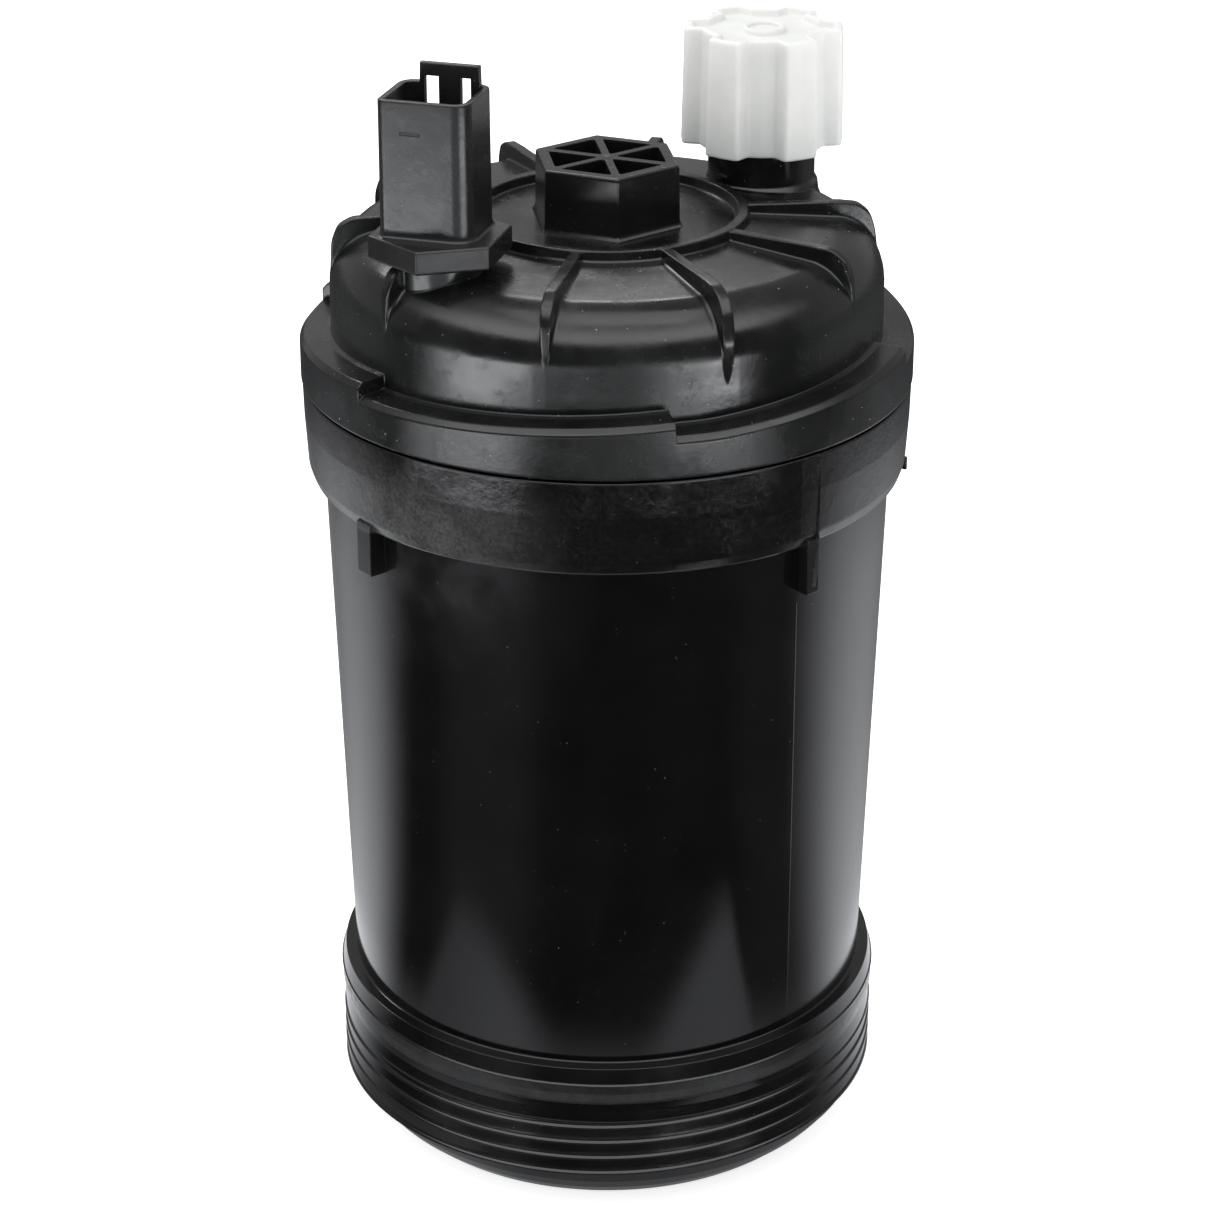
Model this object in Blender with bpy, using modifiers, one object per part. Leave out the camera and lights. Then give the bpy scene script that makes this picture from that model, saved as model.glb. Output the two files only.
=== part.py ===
"""Diesel fuel filter and water separator cartridge, stood on its open threaded end.

Metres, +Z up. The origin is the centre of the open end, which is the bottom. Angles around the
axis are in degrees from the front, which is -Y, and grow towards +X.
"""

import math

import bpy
import bmesh
from mathutils import Matrix, Vector

MM = 0.001
GAP = 0.3 * MM  # clearance between neighbouring pieces

# Shell, from the open end up
LEAD_RADIUS = 49.1 * MM
BORE_RADIUS = 46.4 * MM
THREAD_ROOT = 55.8 * MM
THREAD_CREST = 57.7 * MM
THREAD_PITCH = 3.7 * MM
THREAD_TURNS = 4
THREAD_START = 8.9 * MM
THREAD_END_ANGLE = 180.0
BAND_RADIUS = 58.0 * MM
GROOVE_TOP = 30.9 * MM
GROOVE_FOOT = 26.3 * MM
GROOVE_FLOOR = 55.4 * MM
BAND_TOP = 34.8 * MM
BODY_FOOT_RADIUS = 54.5 * MM
BODY_HEAD_RADIUS = 57.8 * MM
WALL = 2.9 * MM
COLLAR_FOOT = 145.7 * MM
COLLAR_RADIUS = 61.6 * MM
WELD_LINE = 166.2 * MM
LUG_ANGLES = (-51.0, 41.7, 187.0)
LUG_FOOT = 133.7 * MM

# End cap
FLANGE_RADIUS = 62.0 * MM
FLANGE_TOP = 173.4 * MM
RAMP_START = 174.2 * MM
RATCHET_COUNT = 6
RATCHET_RISE = 2.8 * MM
RATCHET_FIRST_ANGLE = 12.0
DOME_RADIUS = 55.6 * MM
DOME_SHOULDER = 186.0 * MM
DOME_CREASE_RADIUS = 47.5 * MM
DOME_CREASE = 196.6 * MM
DOME_TOP = 198.0 * MM
DOME_THICKNESS = 3.0 * MM
RING_OUTER = 28.2 * MM
RING_INNER = 26.2 * MM
RIB_TOP = 200.3 * MM
RIB_THICKNESS = 2.2 * MM
RIB_COUNT = 10
RIB_FIRST_ANGLE = -12.0
HEX_RADIUS = 15.4 * MM
HEX_TOP = 210.5 * MM
HEX_VERTEX_ANGLE = 8.0
SPIGOT_RADIUS = 54.0 * MM
SPIGOT_FOOT = 158.0 * MM

# Water sensor and drain valve stand opposite each other on the end cap
PORT_RADIUS = 42.9 * MM
SENSOR_ANGLE = -48.0
DRAIN_ANGLE = 132.0

SENSOR_TURN = -16.4
SENSOR_NECK_RADIUS = 8.6 * MM
SENSOR_STEM_RADIUS = 6.4 * MM
SENSOR_STEM_FOOT = 180.0 * MM
SENSOR_HEX_RADIUS = 14.1 * MM
SENSOR_HEX_FOOT = 199.9 * MM
SENSOR_HEX_TOP = 204.8 * MM
SHROUD_WIDTH = 18.5 * MM
SHROUD_DEPTH = 15.6 * MM
SHROUD_TOP = 231.5 * MM
SHROUD_WALL = 1.7 * MM
SHROUD_FLOOR = 212.0 * MM
SHROUD_CORNER = 3.0 * MM
SHROUD_CENTRE = (-0.9 * MM, 0.7 * MM)
TAB_WIDTH = 11.8 * MM
TAB_TOP = 235.3 * MM
TERMINAL_SPACING = 6.0 * MM
TERMINAL_TOP = 222.0 * MM

DRAIN_NECK_RADIUS = 11.0 * MM
DRAIN_NECK_TOP = 219.8 * MM
DRAIN_BORE = 8.2 * MM
DRAIN_TUBE_FOOT = 184.0 * MM
KNOB_FOOT = 205.3 * MM
KNOB_TOP = 229.6 * MM
KNOB_CORE_RADIUS = 13.9 * MM
KNOB_LOBE_RADIUS = 17.0 * MM
KNOB_DRAFT = 0.7 * MM
KNOB_LOBE_WIDTH = 8.0 * MM
KNOB_LOBES = 6
KNOB_TURN = 27.0
KNOB_BORE = 11.6 * MM
KNOB_ROOF = 3.0 * MM
STEM_RADIUS = 6.4 * MM
STEM_FOOT = 187.0 * MM

# Filter element inside the shell
RETAINER_FOOT = 6.5 * MM
ELEMENT_FOOT = 12.0 * MM
ELEMENT_HEAD = 143.0 * MM
SPACER_RADIUS = 20.0 * MM
PLATE_THICKNESS = 2.5 * MM
PLATE_RADIUS = 45.2 * MM
SCREEN_RADIUS = 44.4 * MM
OUTER_MEDIA = (31.0 * MM, 43.2 * MM, 40)
CENTRE_TUBE = 29.6 * MM
INNER_MEDIA = (18.2 * MM, 27.2 * MM, 28)
INNER_CORE = 17.0 * MM
OUTLET_RADIUS = 11.0 * MM

ROUND = 48  # steps around a large turned piece
SMALL_ROUND = 24  # steps around a small one


def clear_scene():
    for obj in list(bpy.data.objects):
        bpy.data.objects.remove(obj, do_unlink=True)


def new_collection(name):
    collection = bpy.data.collections.new(name)
    bpy.context.scene.collection.children.link(collection)
    return collection


def material(name, colour, roughness, metallic=0.0):
    made = bpy.data.materials.new(name)
    made.use_nodes = True
    shader = made.node_tree.nodes["Principled BSDF"]
    shader.inputs["Base Color"].default_value = (*colour, 1.0)
    shader.inputs["Roughness"].default_value = roughness
    shader.inputs["Metallic"].default_value = metallic
    return made


def around(radius, angle):
    """x and y at a radius and an angle from the front."""
    turn = math.radians(angle)
    return radius * math.sin(turn), -radius * math.cos(turn)


def add(name, mesh, look=None, collection=None, location=(0, 0, 0), turn=0.0):
    obj = bpy.data.objects.new(name, mesh)
    (collection or PARTS).objects.link(obj)
    obj.location = location
    obj.rotation_euler = (0, 0, math.radians(turn))
    if look:
        obj.data.materials.append(look)
    return obj


def from_bmesh(name, bm, look=None, collection=None, location=(0, 0, 0), turn=0.0):
    mesh = bpy.data.meshes.new(name)
    bmesh.ops.recalc_face_normals(bm, faces=bm.faces)
    bm.to_mesh(mesh)
    bm.free()
    return add(name, mesh, look, collection, location, turn)


def as_cutter(obj):
    """Moves a helper shape to the cutters and hides it from renders."""
    for collection in list(obj.users_collection):
        collection.objects.unlink(obj)
    CUTTERS.objects.link(obj)
    obj.hide_render = True
    obj.display_type = "WIRE"
    return obj


def evaluated_mesh(obj):
    graph = bpy.context.evaluated_depsgraph_get()
    return bpy.data.meshes.new_from_object(obj.evaluated_get(graph))


def bake(obj):
    """Turns the object's modifiers into plain mesh."""
    mesh = evaluated_mesh(obj)
    obj.modifiers.clear()
    obj.data = mesh
    return obj


def smooth(obj, angle=35.0):
    obj.data.shade_smooth()
    obj.data.set_sharp_from_angle(angle=math.radians(angle))
    return obj


def turned(name, profile, look=None, steps=ROUND, location=(0, 0, 0)):
    """A body turned about its own Z from (radius, height) points that run down its outer side.

    A profile that starts and ends on the axis stays open there, and any other is closed.
    """
    mesh = bpy.data.meshes.new(name)
    bm = bmesh.new()
    points = [bm.verts.new((radius, 0, height)) for radius, height in profile]
    for first, second in zip(points, points[1:]):
        bm.edges.new((first, second))
    if profile[0][0] > 0:
        bm.edges.new((points[-1], points[0]))
    bm.to_mesh(mesh)
    bm.free()
    obj = add(name, mesh, look, location=location)
    screw = obj.modifiers.new("Turn", "SCREW")
    screw.steps = screw.render_steps = steps
    screw.use_merge_vertices = True
    screw.merge_threshold = 0.01 * MM
    return smooth(bake(obj))


def helix(name, profile, turns, pitch, steps=ROUND, angle=0.0):
    """A closed ridge swept up a right-hand helix from a closed (radius, height) profile."""
    bm = bmesh.new()
    rings = []
    count = math.ceil(turns * steps - 0.001)
    for step in range(count + 1):
        share = turns * step / count
        spin = Matrix.Rotation(2 * math.pi * share, 3, "Z")
        rise = Vector((0, 0, pitch * share))
        rings.append([bm.verts.new(spin @ Vector((r, 0, z)) + rise) for r, z in profile])
    for low, high in zip(rings, rings[1:]):
        for k in range(len(profile)):
            after = (k + 1) % len(profile)
            bm.faces.new((low[k], low[after], high[after], high[k]))
    bm.faces.new(rings[0])
    bm.faces.new(rings[-1])
    return from_bmesh(name, bm, turn=angle)


def prism(name, radius, low, high, sides, location=(0, 0), angle=0.0, top_radius=None):
    """A regular prism or frustum with a vertex at the given angle from the front."""
    bm = bmesh.new()
    bmesh.ops.create_cone(
        bm,
        cap_ends=True,
        segments=sides,
        radius1=radius,
        radius2=radius if top_radius is None else top_radius,
        depth=high - low,
    )
    first = bm.verts[:][0].co
    turn = angle - 90.0 - math.degrees(math.atan2(first.y, first.x))
    return from_bmesh(name, bm, location=(*location, (low + high) / 2), turn=turn)


def box(name, size, centre, turn=0.0):
    bm = bmesh.new()
    bmesh.ops.create_cube(bm, size=1.0, matrix=Matrix.Diagonal((*size, 1.0)))
    return from_bmesh(name, bm, location=centre, turn=turn)


def outline_solid(name, loops, thickness, look=None):
    """A flat outline, with later loops as holes, extruded evenly to both sides of its plane."""
    curve = bpy.data.curves.new(name, "CURVE")
    curve.dimensions = "2D"
    curve.fill_mode = "BOTH"
    curve.extrude = thickness / 2
    for loop in loops:
        spline = curve.splines.new("POLY")
        spline.points.add(len(loop) - 1)
        for point, (x, y) in zip(spline.points, loop):
            point.co = (x, y, 0, 1)
        spline.use_cyclic_u = True
    drawn = bpy.data.objects.new(name, curve)
    PARTS.objects.link(drawn)
    mesh = evaluated_mesh(drawn)
    bpy.data.objects.remove(drawn)
    bm = bmesh.new()
    bm.from_mesh(mesh)
    bmesh.ops.remove_doubles(bm, verts=bm.verts, dist=0.001 * MM)
    return from_bmesh(name, bm, look)


def combine(obj, others, operation):
    """Applies a Boolean with each of the other shapes and puts them with the cutters."""
    for other in others:
        as_cutter(other)
        step = obj.modifiers.new(other.name, "BOOLEAN")
        step.operation = operation
        step.solver = "EXACT"
        step.object = other
    return smooth(bake(obj))


def join(obj, *others):
    return combine(obj, others, "UNION")


def cut(obj, *others):
    return combine(obj, others, "DIFFERENCE")


def dome_profile(inset, points):
    """(radius, height) points over the dome's shoulder, from the crease down to the wall."""
    reach = DOME_RADIUS - DOME_CREASE_RADIUS
    drop = DOME_CREASE - DOME_SHOULDER
    found = []
    for k in range(points + 1):
        turn = 0.5 * math.pi * k / points
        radius = DOME_CREASE_RADIUS - inset * 0.35 + (reach - inset * 0.65) * math.sin(turn)
        height = DOME_SHOULDER + (drop - inset) * math.cos(turn)
        found.append((radius, height))
    return found


def body_radius(height):
    share = (height - BAND_TOP) / (COLLAR_FOOT - BAND_TOP)
    return BODY_FOOT_RADIUS + share * (BODY_HEAD_RADIUS - BODY_FOOT_RADIUS)


def make_shell(look):
    bore_top = BAND_TOP + 3 * MM
    shell = turned(
        "shell",
        [
            (COLLAR_RADIUS, WELD_LINE - GAP),
            (COLLAR_RADIUS - 0.5 * MM, COLLAR_FOOT + 4.6 * MM),
            (COLLAR_RADIUS - 1.3 * MM, COLLAR_FOOT + 2.4 * MM),
            (BODY_HEAD_RADIUS + 0.8 * MM, COLLAR_FOOT + 0.4 * MM),
            (BODY_HEAD_RADIUS, COLLAR_FOOT),
            (BODY_FOOT_RADIUS, BAND_TOP),
            (BAND_RADIUS - 0.6 * MM, BAND_TOP - 0.1 * MM),
            (BAND_RADIUS, BAND_TOP - 0.8 * MM),
            (BAND_RADIUS, GROOVE_TOP),
            (GROOVE_FLOOR, GROOVE_TOP),
            (GROOVE_FLOOR, GROOVE_FOOT),
            (BAND_RADIUS, GROOVE_FOOT),
            (BAND_RADIUS, GROOVE_FOOT - 1.2 * MM),
            (THREAD_ROOT, GROOVE_FOOT - 2.8 * MM),
            (THREAD_ROOT, 6.4 * MM),
            (THREAD_ROOT - 1.4 * MM, 4.6 * MM),
            (LEAD_RADIUS + 0.5 * MM, 0.4 * MM),
            (LEAD_RADIUS, 0.0),
            (BORE_RADIUS, 0.0),
            (BORE_RADIUS, bore_top),
            (body_radius(bore_top + 6 * MM) - WALL, bore_top + 6 * MM),
            (BODY_HEAD_RADIUS - WALL, COLLAR_FOOT),
            (BODY_HEAD_RADIUS - WALL, WELD_LINE - GAP),
        ],
        look,
    )
    half_base, half_crest = 1.15 * MM, 0.4 * MM
    thread = helix(
        "thread",
        [
            (THREAD_ROOT - 1.0 * MM, -half_base),
            (THREAD_CREST, -half_crest),
            (THREAD_CREST, half_crest),
            (THREAD_ROOT - 1.0 * MM, half_base),
        ],
        THREAD_TURNS,
        THREAD_PITCH,
        angle=THREAD_END_ANGLE - 90,
    )
    thread.location.z = THREAD_START
    lugs = []
    for number, angle in enumerate(LUG_ANGLES):
        x, y = around(BODY_HEAD_RADIUS + 0.7 * MM, angle)
        head = COLLAR_FOOT + 2.5 * MM
        size = (4.4 * MM, 5.2 * MM, head - LUG_FOOT)
        lugs.append(box(f"lug_{number}", size, (x, y, (head + LUG_FOOT) / 2), turn=angle))
    return join(shell, thread, *lugs)


def make_flange_seal(rubber):
    """The rubber ring in the groove above the thread."""
    bulge = 0.3 * MM
    top, foot = GROOVE_TOP - GAP, GROOVE_FOOT + GAP
    rim = BAND_RADIUS - 0.9 * MM
    profile = [
        (rim, top),
        (rim + bulge, (top + foot) / 2),
        (rim, foot),
        (GROOVE_FLOOR + GAP, foot),
        (GROOVE_FLOOR + GAP, top),
    ]
    return turned("flange_seal", profile, rubber)


def make_ribs():
    """Radial ribs from the ring over the shoulder of the dome, and where they stand."""
    root = RING_OUTER - 1.2 * MM
    tip = DOME_RADIUS + 0.7 * MM
    bend = 6.5 * MM
    outline = [(root, DOME_TOP - 1.4 * MM), (root, RIB_TOP)]
    for k in range(7):
        turn = 0.5 * math.pi * k / 6
        outline.append((tip - bend + bend * math.sin(turn), RIB_TOP - 7 * MM * (1 - math.cos(turn))))
    outline.append((DOME_RADIUS - 0.2 * MM, DOME_SHOULDER - 4.5 * MM))
    outline.append((DOME_RADIUS - 2.0 * MM, DOME_SHOULDER - 1.0 * MM))
    outline.append((DOME_CREASE_RADIUS + 3.0 * MM, DOME_CREASE - 3.4 * MM))
    outline.append((DOME_CREASE_RADIUS - 1.0 * MM, DOME_CREASE - 1.4 * MM))
    ribs = []
    for number in range(RIB_COUNT):
        rib = outline_solid(f"rib_{number}", [outline], RIB_THICKNESS)
        angle = RIB_FIRST_ANGLE + number * 360.0 / RIB_COUNT
        rib.data.transform(Matrix.Rotation(math.radians(90), 4, "X"))
        rib.rotation_euler = (0, 0, math.radians(angle - 90))
        ribs.append(rib)
    return ribs


def make_ratchet():
    """Sloping drive ramps on the flange, each rising anticlockwise to a step."""
    span = 360.0 / RATCHET_COUNT
    root, rim = DOME_RADIUS - 1.5 * MM, FLANGE_RADIUS - 0.25 * MM
    profile = [
        (root, FLANGE_TOP - 2.0 * MM),
        (rim, FLANGE_TOP - 1.0 * MM),
        (rim, RAMP_START),
        (rim - 1.4 * MM, RAMP_START + 1.0 * MM),
        (root, RAMP_START + 1.8 * MM),
    ]
    return [
        helix(
            f"ramp_{number}",
            profile,
            1.0 / RATCHET_COUNT - 0.002,
            RATCHET_RISE * RATCHET_COUNT,
            angle=RATCHET_FIRST_ANGLE - 90 + number * span,
        )
        for number in range(RATCHET_COUNT)
    ]


def make_hex_boss():
    boss = prism(
        "hex_boss",
        HEX_RADIUS + 0.3 * MM,
        DOME_TOP - 0.6 * MM,
        HEX_TOP,
        6,
        angle=HEX_VERTEX_ANGLE,
        top_radius=HEX_RADIUS,
    )
    side_distance = HEX_RADIUS * math.cos(math.radians(30))
    half_web, rim = 0.8 * MM, 2.2 * MM
    pocket_radius = (side_distance - rim - 2 * half_web) * 2 / 3
    pockets = []
    for number in range(6):
        angle = HEX_VERTEX_ANGLE + 30 + 60 * number
        place = around(2 * half_web + pocket_radius, angle)
        floor = DOME_TOP + 3 * MM
        pocket = prism(
            f"pocket_{number}", pocket_radius, floor, HEX_TOP + MM, 3, place, angle + 180
        )
        pockets.append(pocket)
    return cut(boss, *pockets)


def make_end_cap(look):
    inner = list(reversed(dome_profile(DOME_THICKNESS, 5)))
    cap = turned(
        "end_cap",
        [
            (0, DOME_TOP),
            (RING_INNER, DOME_TOP),
            (RING_INNER + 0.3 * MM, RIB_TOP - 0.1 * MM),
            (RING_OUTER, RIB_TOP - 0.1 * MM),
            (RING_OUTER + 0.3 * MM, DOME_TOP - 0.1 * MM),
            *dome_profile(0, 7),
            (DOME_RADIUS, FLANGE_TOP),
            (FLANGE_RADIUS - 1.2 * MM, FLANGE_TOP),
            (FLANGE_RADIUS, FLANGE_TOP - 0.5 * MM),
            (FLANGE_RADIUS, WELD_LINE),
            (SPIGOT_RADIUS, WELD_LINE),
            (SPIGOT_RADIUS - 0.2 * MM, SPIGOT_FOOT),
            (SPIGOT_RADIUS - 2.6 * MM, SPIGOT_FOOT),
            (SPIGOT_RADIUS - 2.2 * MM, WELD_LINE),
            *inner,
            (0, DOME_TOP - DOME_THICKNESS),
        ],
        look,
    )
    drain, sensor = around(PORT_RADIUS, DRAIN_ANGLE), around(PORT_RADIUS, SENSOR_ANGLE)
    neck = prism("neck", DRAIN_NECK_RADIUS, DRAIN_TUBE_FOOT, DRAIN_NECK_TOP, SMALL_ROUND, drain)
    socket_top = SENSOR_HEX_FOOT - GAP
    socket = prism("socket", SENSOR_NECK_RADIUS, 184 * MM, socket_top, SMALL_ROUND, sensor)
    cap = join(cap, *make_ribs(), *make_ratchet(), make_hex_boss(), neck, socket)
    return cut(
        cap,
        prism("drain_bore", DRAIN_BORE, 180 * MM, DRAIN_NECK_TOP + MM, SMALL_ROUND, drain),
        prism(
            "sensor_bore", SENSOR_STEM_RADIUS + GAP, 180 * MM, 205 * MM, SMALL_ROUND, sensor, angle=2.0
        ),
        prism("spot_face", SENSOR_HEX_RADIUS + 0.4 * MM, socket_top, 206 * MM, 24, sensor),
    )


def make_sensor(plastic, rubber, brass, steel):
    x, y = around(PORT_RADIUS, SENSOR_ANGLE)
    groove = 2.6 * MM
    groove_foot = 193.5 * MM
    body = turned(
        "sensor_body",
        [
            (0, SENSOR_HEX_FOOT + 0.8 * MM),
            (SENSOR_STEM_RADIUS, SENSOR_HEX_FOOT + 0.8 * MM),
            (SENSOR_STEM_RADIUS, groove_foot + groove),
            (SENSOR_STEM_RADIUS - 1.9 * MM, groove_foot + groove),
            (SENSOR_STEM_RADIUS - 1.9 * MM, groove_foot),
            (SENSOR_STEM_RADIUS, groove_foot),
            (SENSOR_STEM_RADIUS, SENSOR_STEM_FOOT + 0.8 * MM),
            (SENSOR_STEM_RADIUS - 0.8 * MM, SENSOR_STEM_FOOT),
            (0, SENSOR_STEM_FOOT),
        ],
        plastic,
        SMALL_ROUND,
        location=(x, y, 0),
    )
    flange = prism(
        "sensor_hex",
        SENSOR_HEX_RADIUS,
        SENSOR_HEX_FOOT,
        SENSOR_HEX_TOP,
        6,
        (x, y),
        SENSOR_TURN,
    )
    turn = Matrix.Rotation(math.radians(SENSOR_TURN), 3, "Z")

    def local(px, py, pz):
        return Vector((x, y, 0)) + turn @ Vector((px, py, 0)) + Vector((0, 0, pz))

    cx, cy = SHROUD_CENTRE

    def block(name, width, depth, low, high, px=0.0, py=0.0):
        centre = local(cx + px, cy + py, (low + high) / 2)
        return box(name, (width, depth, high - low), centre, turn=SENSOR_TURN)

    shroud = block("shroud", SHROUD_WIDTH, SHROUD_DEPTH, SENSOR_HEX_TOP - MM, SHROUD_TOP)
    shroud = round_upright_edges(shroud, SHROUD_CORNER)
    tab = block(
        "tab",
        TAB_WIDTH,
        SHROUD_WALL,
        SHROUD_TOP - 12 * MM,
        TAB_TOP,
        py=SHROUD_DEPTH / 2 - SHROUD_WALL / 2 - 0.02 * MM,
    )
    body = join(body, flange, shroud, tab)
    cavity = block(
        "cavity",
        SHROUD_WIDTH - 2 * SHROUD_WALL,
        SHROUD_DEPTH - 2 * SHROUD_WALL,
        SHROUD_FLOOR,
        SHROUD_TOP + 6 * MM,
    )
    cavity = round_upright_edges(cavity, SHROUD_CORNER - SHROUD_WALL)
    windows = [
        block(name, width, 3 * SHROUD_WALL, 221 * MM, TAB_TOP - 2.5 * MM, px, SHROUD_DEPTH / 2)
        for name, width, px in (("window_a", 3.0 * MM, -2.8 * MM), ("window_b", 2.2 * MM, 3.9 * MM))
    ]
    holes = []
    made = []
    for name, side in (("a", -1), ("b", 1)):
        px = side * TERMINAL_SPACING / 2
        slot = block(f"slot_{name}", 3.4 * MM, 1.4 * MM, 207.7 * MM, 213 * MM, px)
        terminal = block(f"sensor_terminal_{name}", 2.8 * MM, 0.8 * MM, 208 * MM, TERMINAL_TOP, px)
        terminal.data.materials.append(brass)
        probe_place = local(side * 2.6 * MM, 0, 0)
        hole = prism(f"hole_{name}", 1.4 * MM, 179 * MM, 184.3 * MM, 12, probe_place[:2])
        probe = prism(f"sensor_probe_{name}", 1.1 * MM, 168 * MM, 184 * MM, 12, probe_place[:2])
        probe.data.materials.append(steel)
        holes += [slot, hole]
        made += [terminal, smooth(probe)]
    body = cut(body, cavity, *windows, *holes)
    seal = ring("sensor_o_ring", SENSOR_STEM_RADIUS - 0.7 * MM, 0.85 * MM, rubber)
    seal.location = (x, y, groove_foot + groove / 2)
    return [body, seal, *made]


def round_upright_edges(obj, radius):
    """Rounds the four vertical edges of a box."""
    bm = bmesh.new()
    bm.from_mesh(obj.data)
    upright = [e for e in bm.edges if abs(e.verts[0].co.z - e.verts[1].co.z) > MM]
    bmesh.ops.bevel(bm, geom=upright, offset=radius, segments=4, profile=0.5, affect="EDGES")
    bm.to_mesh(obj.data)
    bm.free()
    return obj


def ring(name, radius, thickness, look, steps=SMALL_ROUND):
    """An O-ring: a round section of the given half thickness turned about Z."""
    section = []
    for k in range(6):
        turn = math.radians(60 - 60 * k)
        section.append((radius + thickness * math.cos(turn), thickness * math.sin(turn)))
    return turned(name, section, look, steps)


def make_drain(nylon, plastic, rubber):
    x, y = around(PORT_RADIUS, DRAIN_ANGLE)
    taper = KNOB_DRAFT
    knob = prism(
        "drain_knob",
        KNOB_CORE_RADIUS,
        KNOB_FOOT,
        KNOB_TOP,
        SMALL_ROUND,
        (x, y),
        top_radius=KNOB_CORE_RADIUS - taper,
    )
    knob.data.materials.append(nylon)
    lobes = []
    for number in range(KNOB_LOBES):
        angle = KNOB_TURN + number * 360.0 / KNOB_LOBES
        inner = KNOB_CORE_RADIUS - 3.4 * MM
        reach = KNOB_LOBE_RADIUS - 0.35 * MM
        bx, by = around((inner + reach) / 2, angle)
        centre = (x + bx, y + by, (KNOB_FOOT + KNOB_TOP) / 2)
        size = (KNOB_LOBE_WIDTH, reach - inner, KNOB_TOP - KNOB_FOOT)
        lobe = round_upright_edges(box(f"lobe_{number}", size, centre, turn=angle), 1.1 * MM)
        for vertex in lobe.data.vertices:
            if vertex.co.z > 0 and vertex.co.y < 0:
                vertex.co.y += taper
        lobes.append(lobe)
    knob = join(knob, *lobes)
    recess = prism("knob_recess", 11.6 * MM, KNOB_TOP - 1.1 * MM, KNOB_TOP + MM, 32, (x, y), 3.0)
    hollow = prism(
        "knob_hollow", KNOB_BORE, KNOB_FOOT - MM, KNOB_TOP - KNOB_ROOF, 32, (x, y), angle=5.0
    )
    knob = cut(knob, recess, hollow)
    knob = join(
        knob,
        prism("knob_hub", 4.4 * MM, KNOB_TOP - 2 * MM, KNOB_TOP - 0.3 * MM, 24, (x, y), angle=1.0),
    )
    head = KNOB_TOP - KNOB_ROOF - GAP
    seat = DRAIN_NECK_TOP + 2.1 * MM
    groove = 2.6 * MM
    grooves = (214.0 * MM, 190.0 * MM)
    profile = [(0, head), (KNOB_BORE - 0.8 * MM, head), (KNOB_BORE - 0.8 * MM, seat)]
    profile.append((STEM_RADIUS, seat))
    for height in grooves:
        profile += [
            (STEM_RADIUS, height + groove / 2),
            (STEM_RADIUS - 0.9 * MM, height + groove / 2),
            (STEM_RADIUS - 0.9 * MM, height - groove / 2),
            (STEM_RADIUS, height - groove / 2),
        ]
    profile += [(STEM_RADIUS, STEM_FOOT), (3.0 * MM, STEM_FOOT), (3.0 * MM, 217 * MM), (0, 217 * MM)]
    stem = turned("drain_stem", profile, plastic, SMALL_ROUND, location=(x, y, 0))
    port = prism("cross_port", 1.6 * MM, -10 * MM, 10 * MM, 12)
    port.rotation_euler = (math.radians(90), 0, 0)
    port.location = (x, y, 204 * MM)
    stem = cut(stem, port)
    made = [knob, stem]
    for name, height in zip(("drain_o_ring_upper", "drain_o_ring_lower"), grooves):
        seal = ring(name, STEM_RADIUS + 0.4 * MM, 0.95 * MM, rubber)
        seal.location = (x, y, height)
        made.append(seal)
    washer = turned(
        "drain_face_seal",
        [
            (DRAIN_NECK_RADIUS - 0.3 * MM, seat - GAP),
            (DRAIN_NECK_RADIUS - 0.3 * MM, DRAIN_NECK_TOP + GAP),
            (DRAIN_BORE, DRAIN_NECK_TOP + GAP),
            (DRAIN_BORE, seat - GAP),
        ],
        rubber,
        SMALL_ROUND,
        location=(x, y, 0),
    )
    return [*made, washer]


def pleated(name, look, inner, outer, pleats, low, high):
    """Pleated paper: two zigzag outlines a paper's thickness apart."""
    paper = 0.9 * MM
    loops = []
    for inset in (0.0, paper):
        loop = []
        for k in range(2 * pleats):
            radius = outer - 1.6 * inset if k % 2 == 0 else inner + paper * 1.6 - 1.6 * inset
            turn = math.pi * k / pleats
            loop.append((radius * math.cos(turn), radius * math.sin(turn)))
        loops.append(loop)
    media = outline_solid(name, loops, high - low, look)
    media.location.z = (low + high) / 2
    return media


def tube(name, look, radius, wall, low, high, steps=ROUND):
    return turned(
        name,
        [(radius, high), (radius, low), (radius - wall, low), (radius - wall, high)],
        look,
        steps,
    )


def perforate(obj, radius, rows, columns, low, high):
    """Cuts rows of square windows; each cutter bar passes through both sides."""
    bars = []
    for row in range(rows):
        height = low + (high - low) * (row + 0.5) / rows
        for column in range(columns):
            angle = 180.0 * (column + 0.5 * (row % 2)) / columns
            size = (2.4 * radius, 0.42 * radius, 0.55 * (high - low) / rows)
            bars.append(box(f"{obj.name}_bar_{row}_{column}", size, (0, 0, height), turn=angle))
    return cut(obj, *bars)


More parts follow.
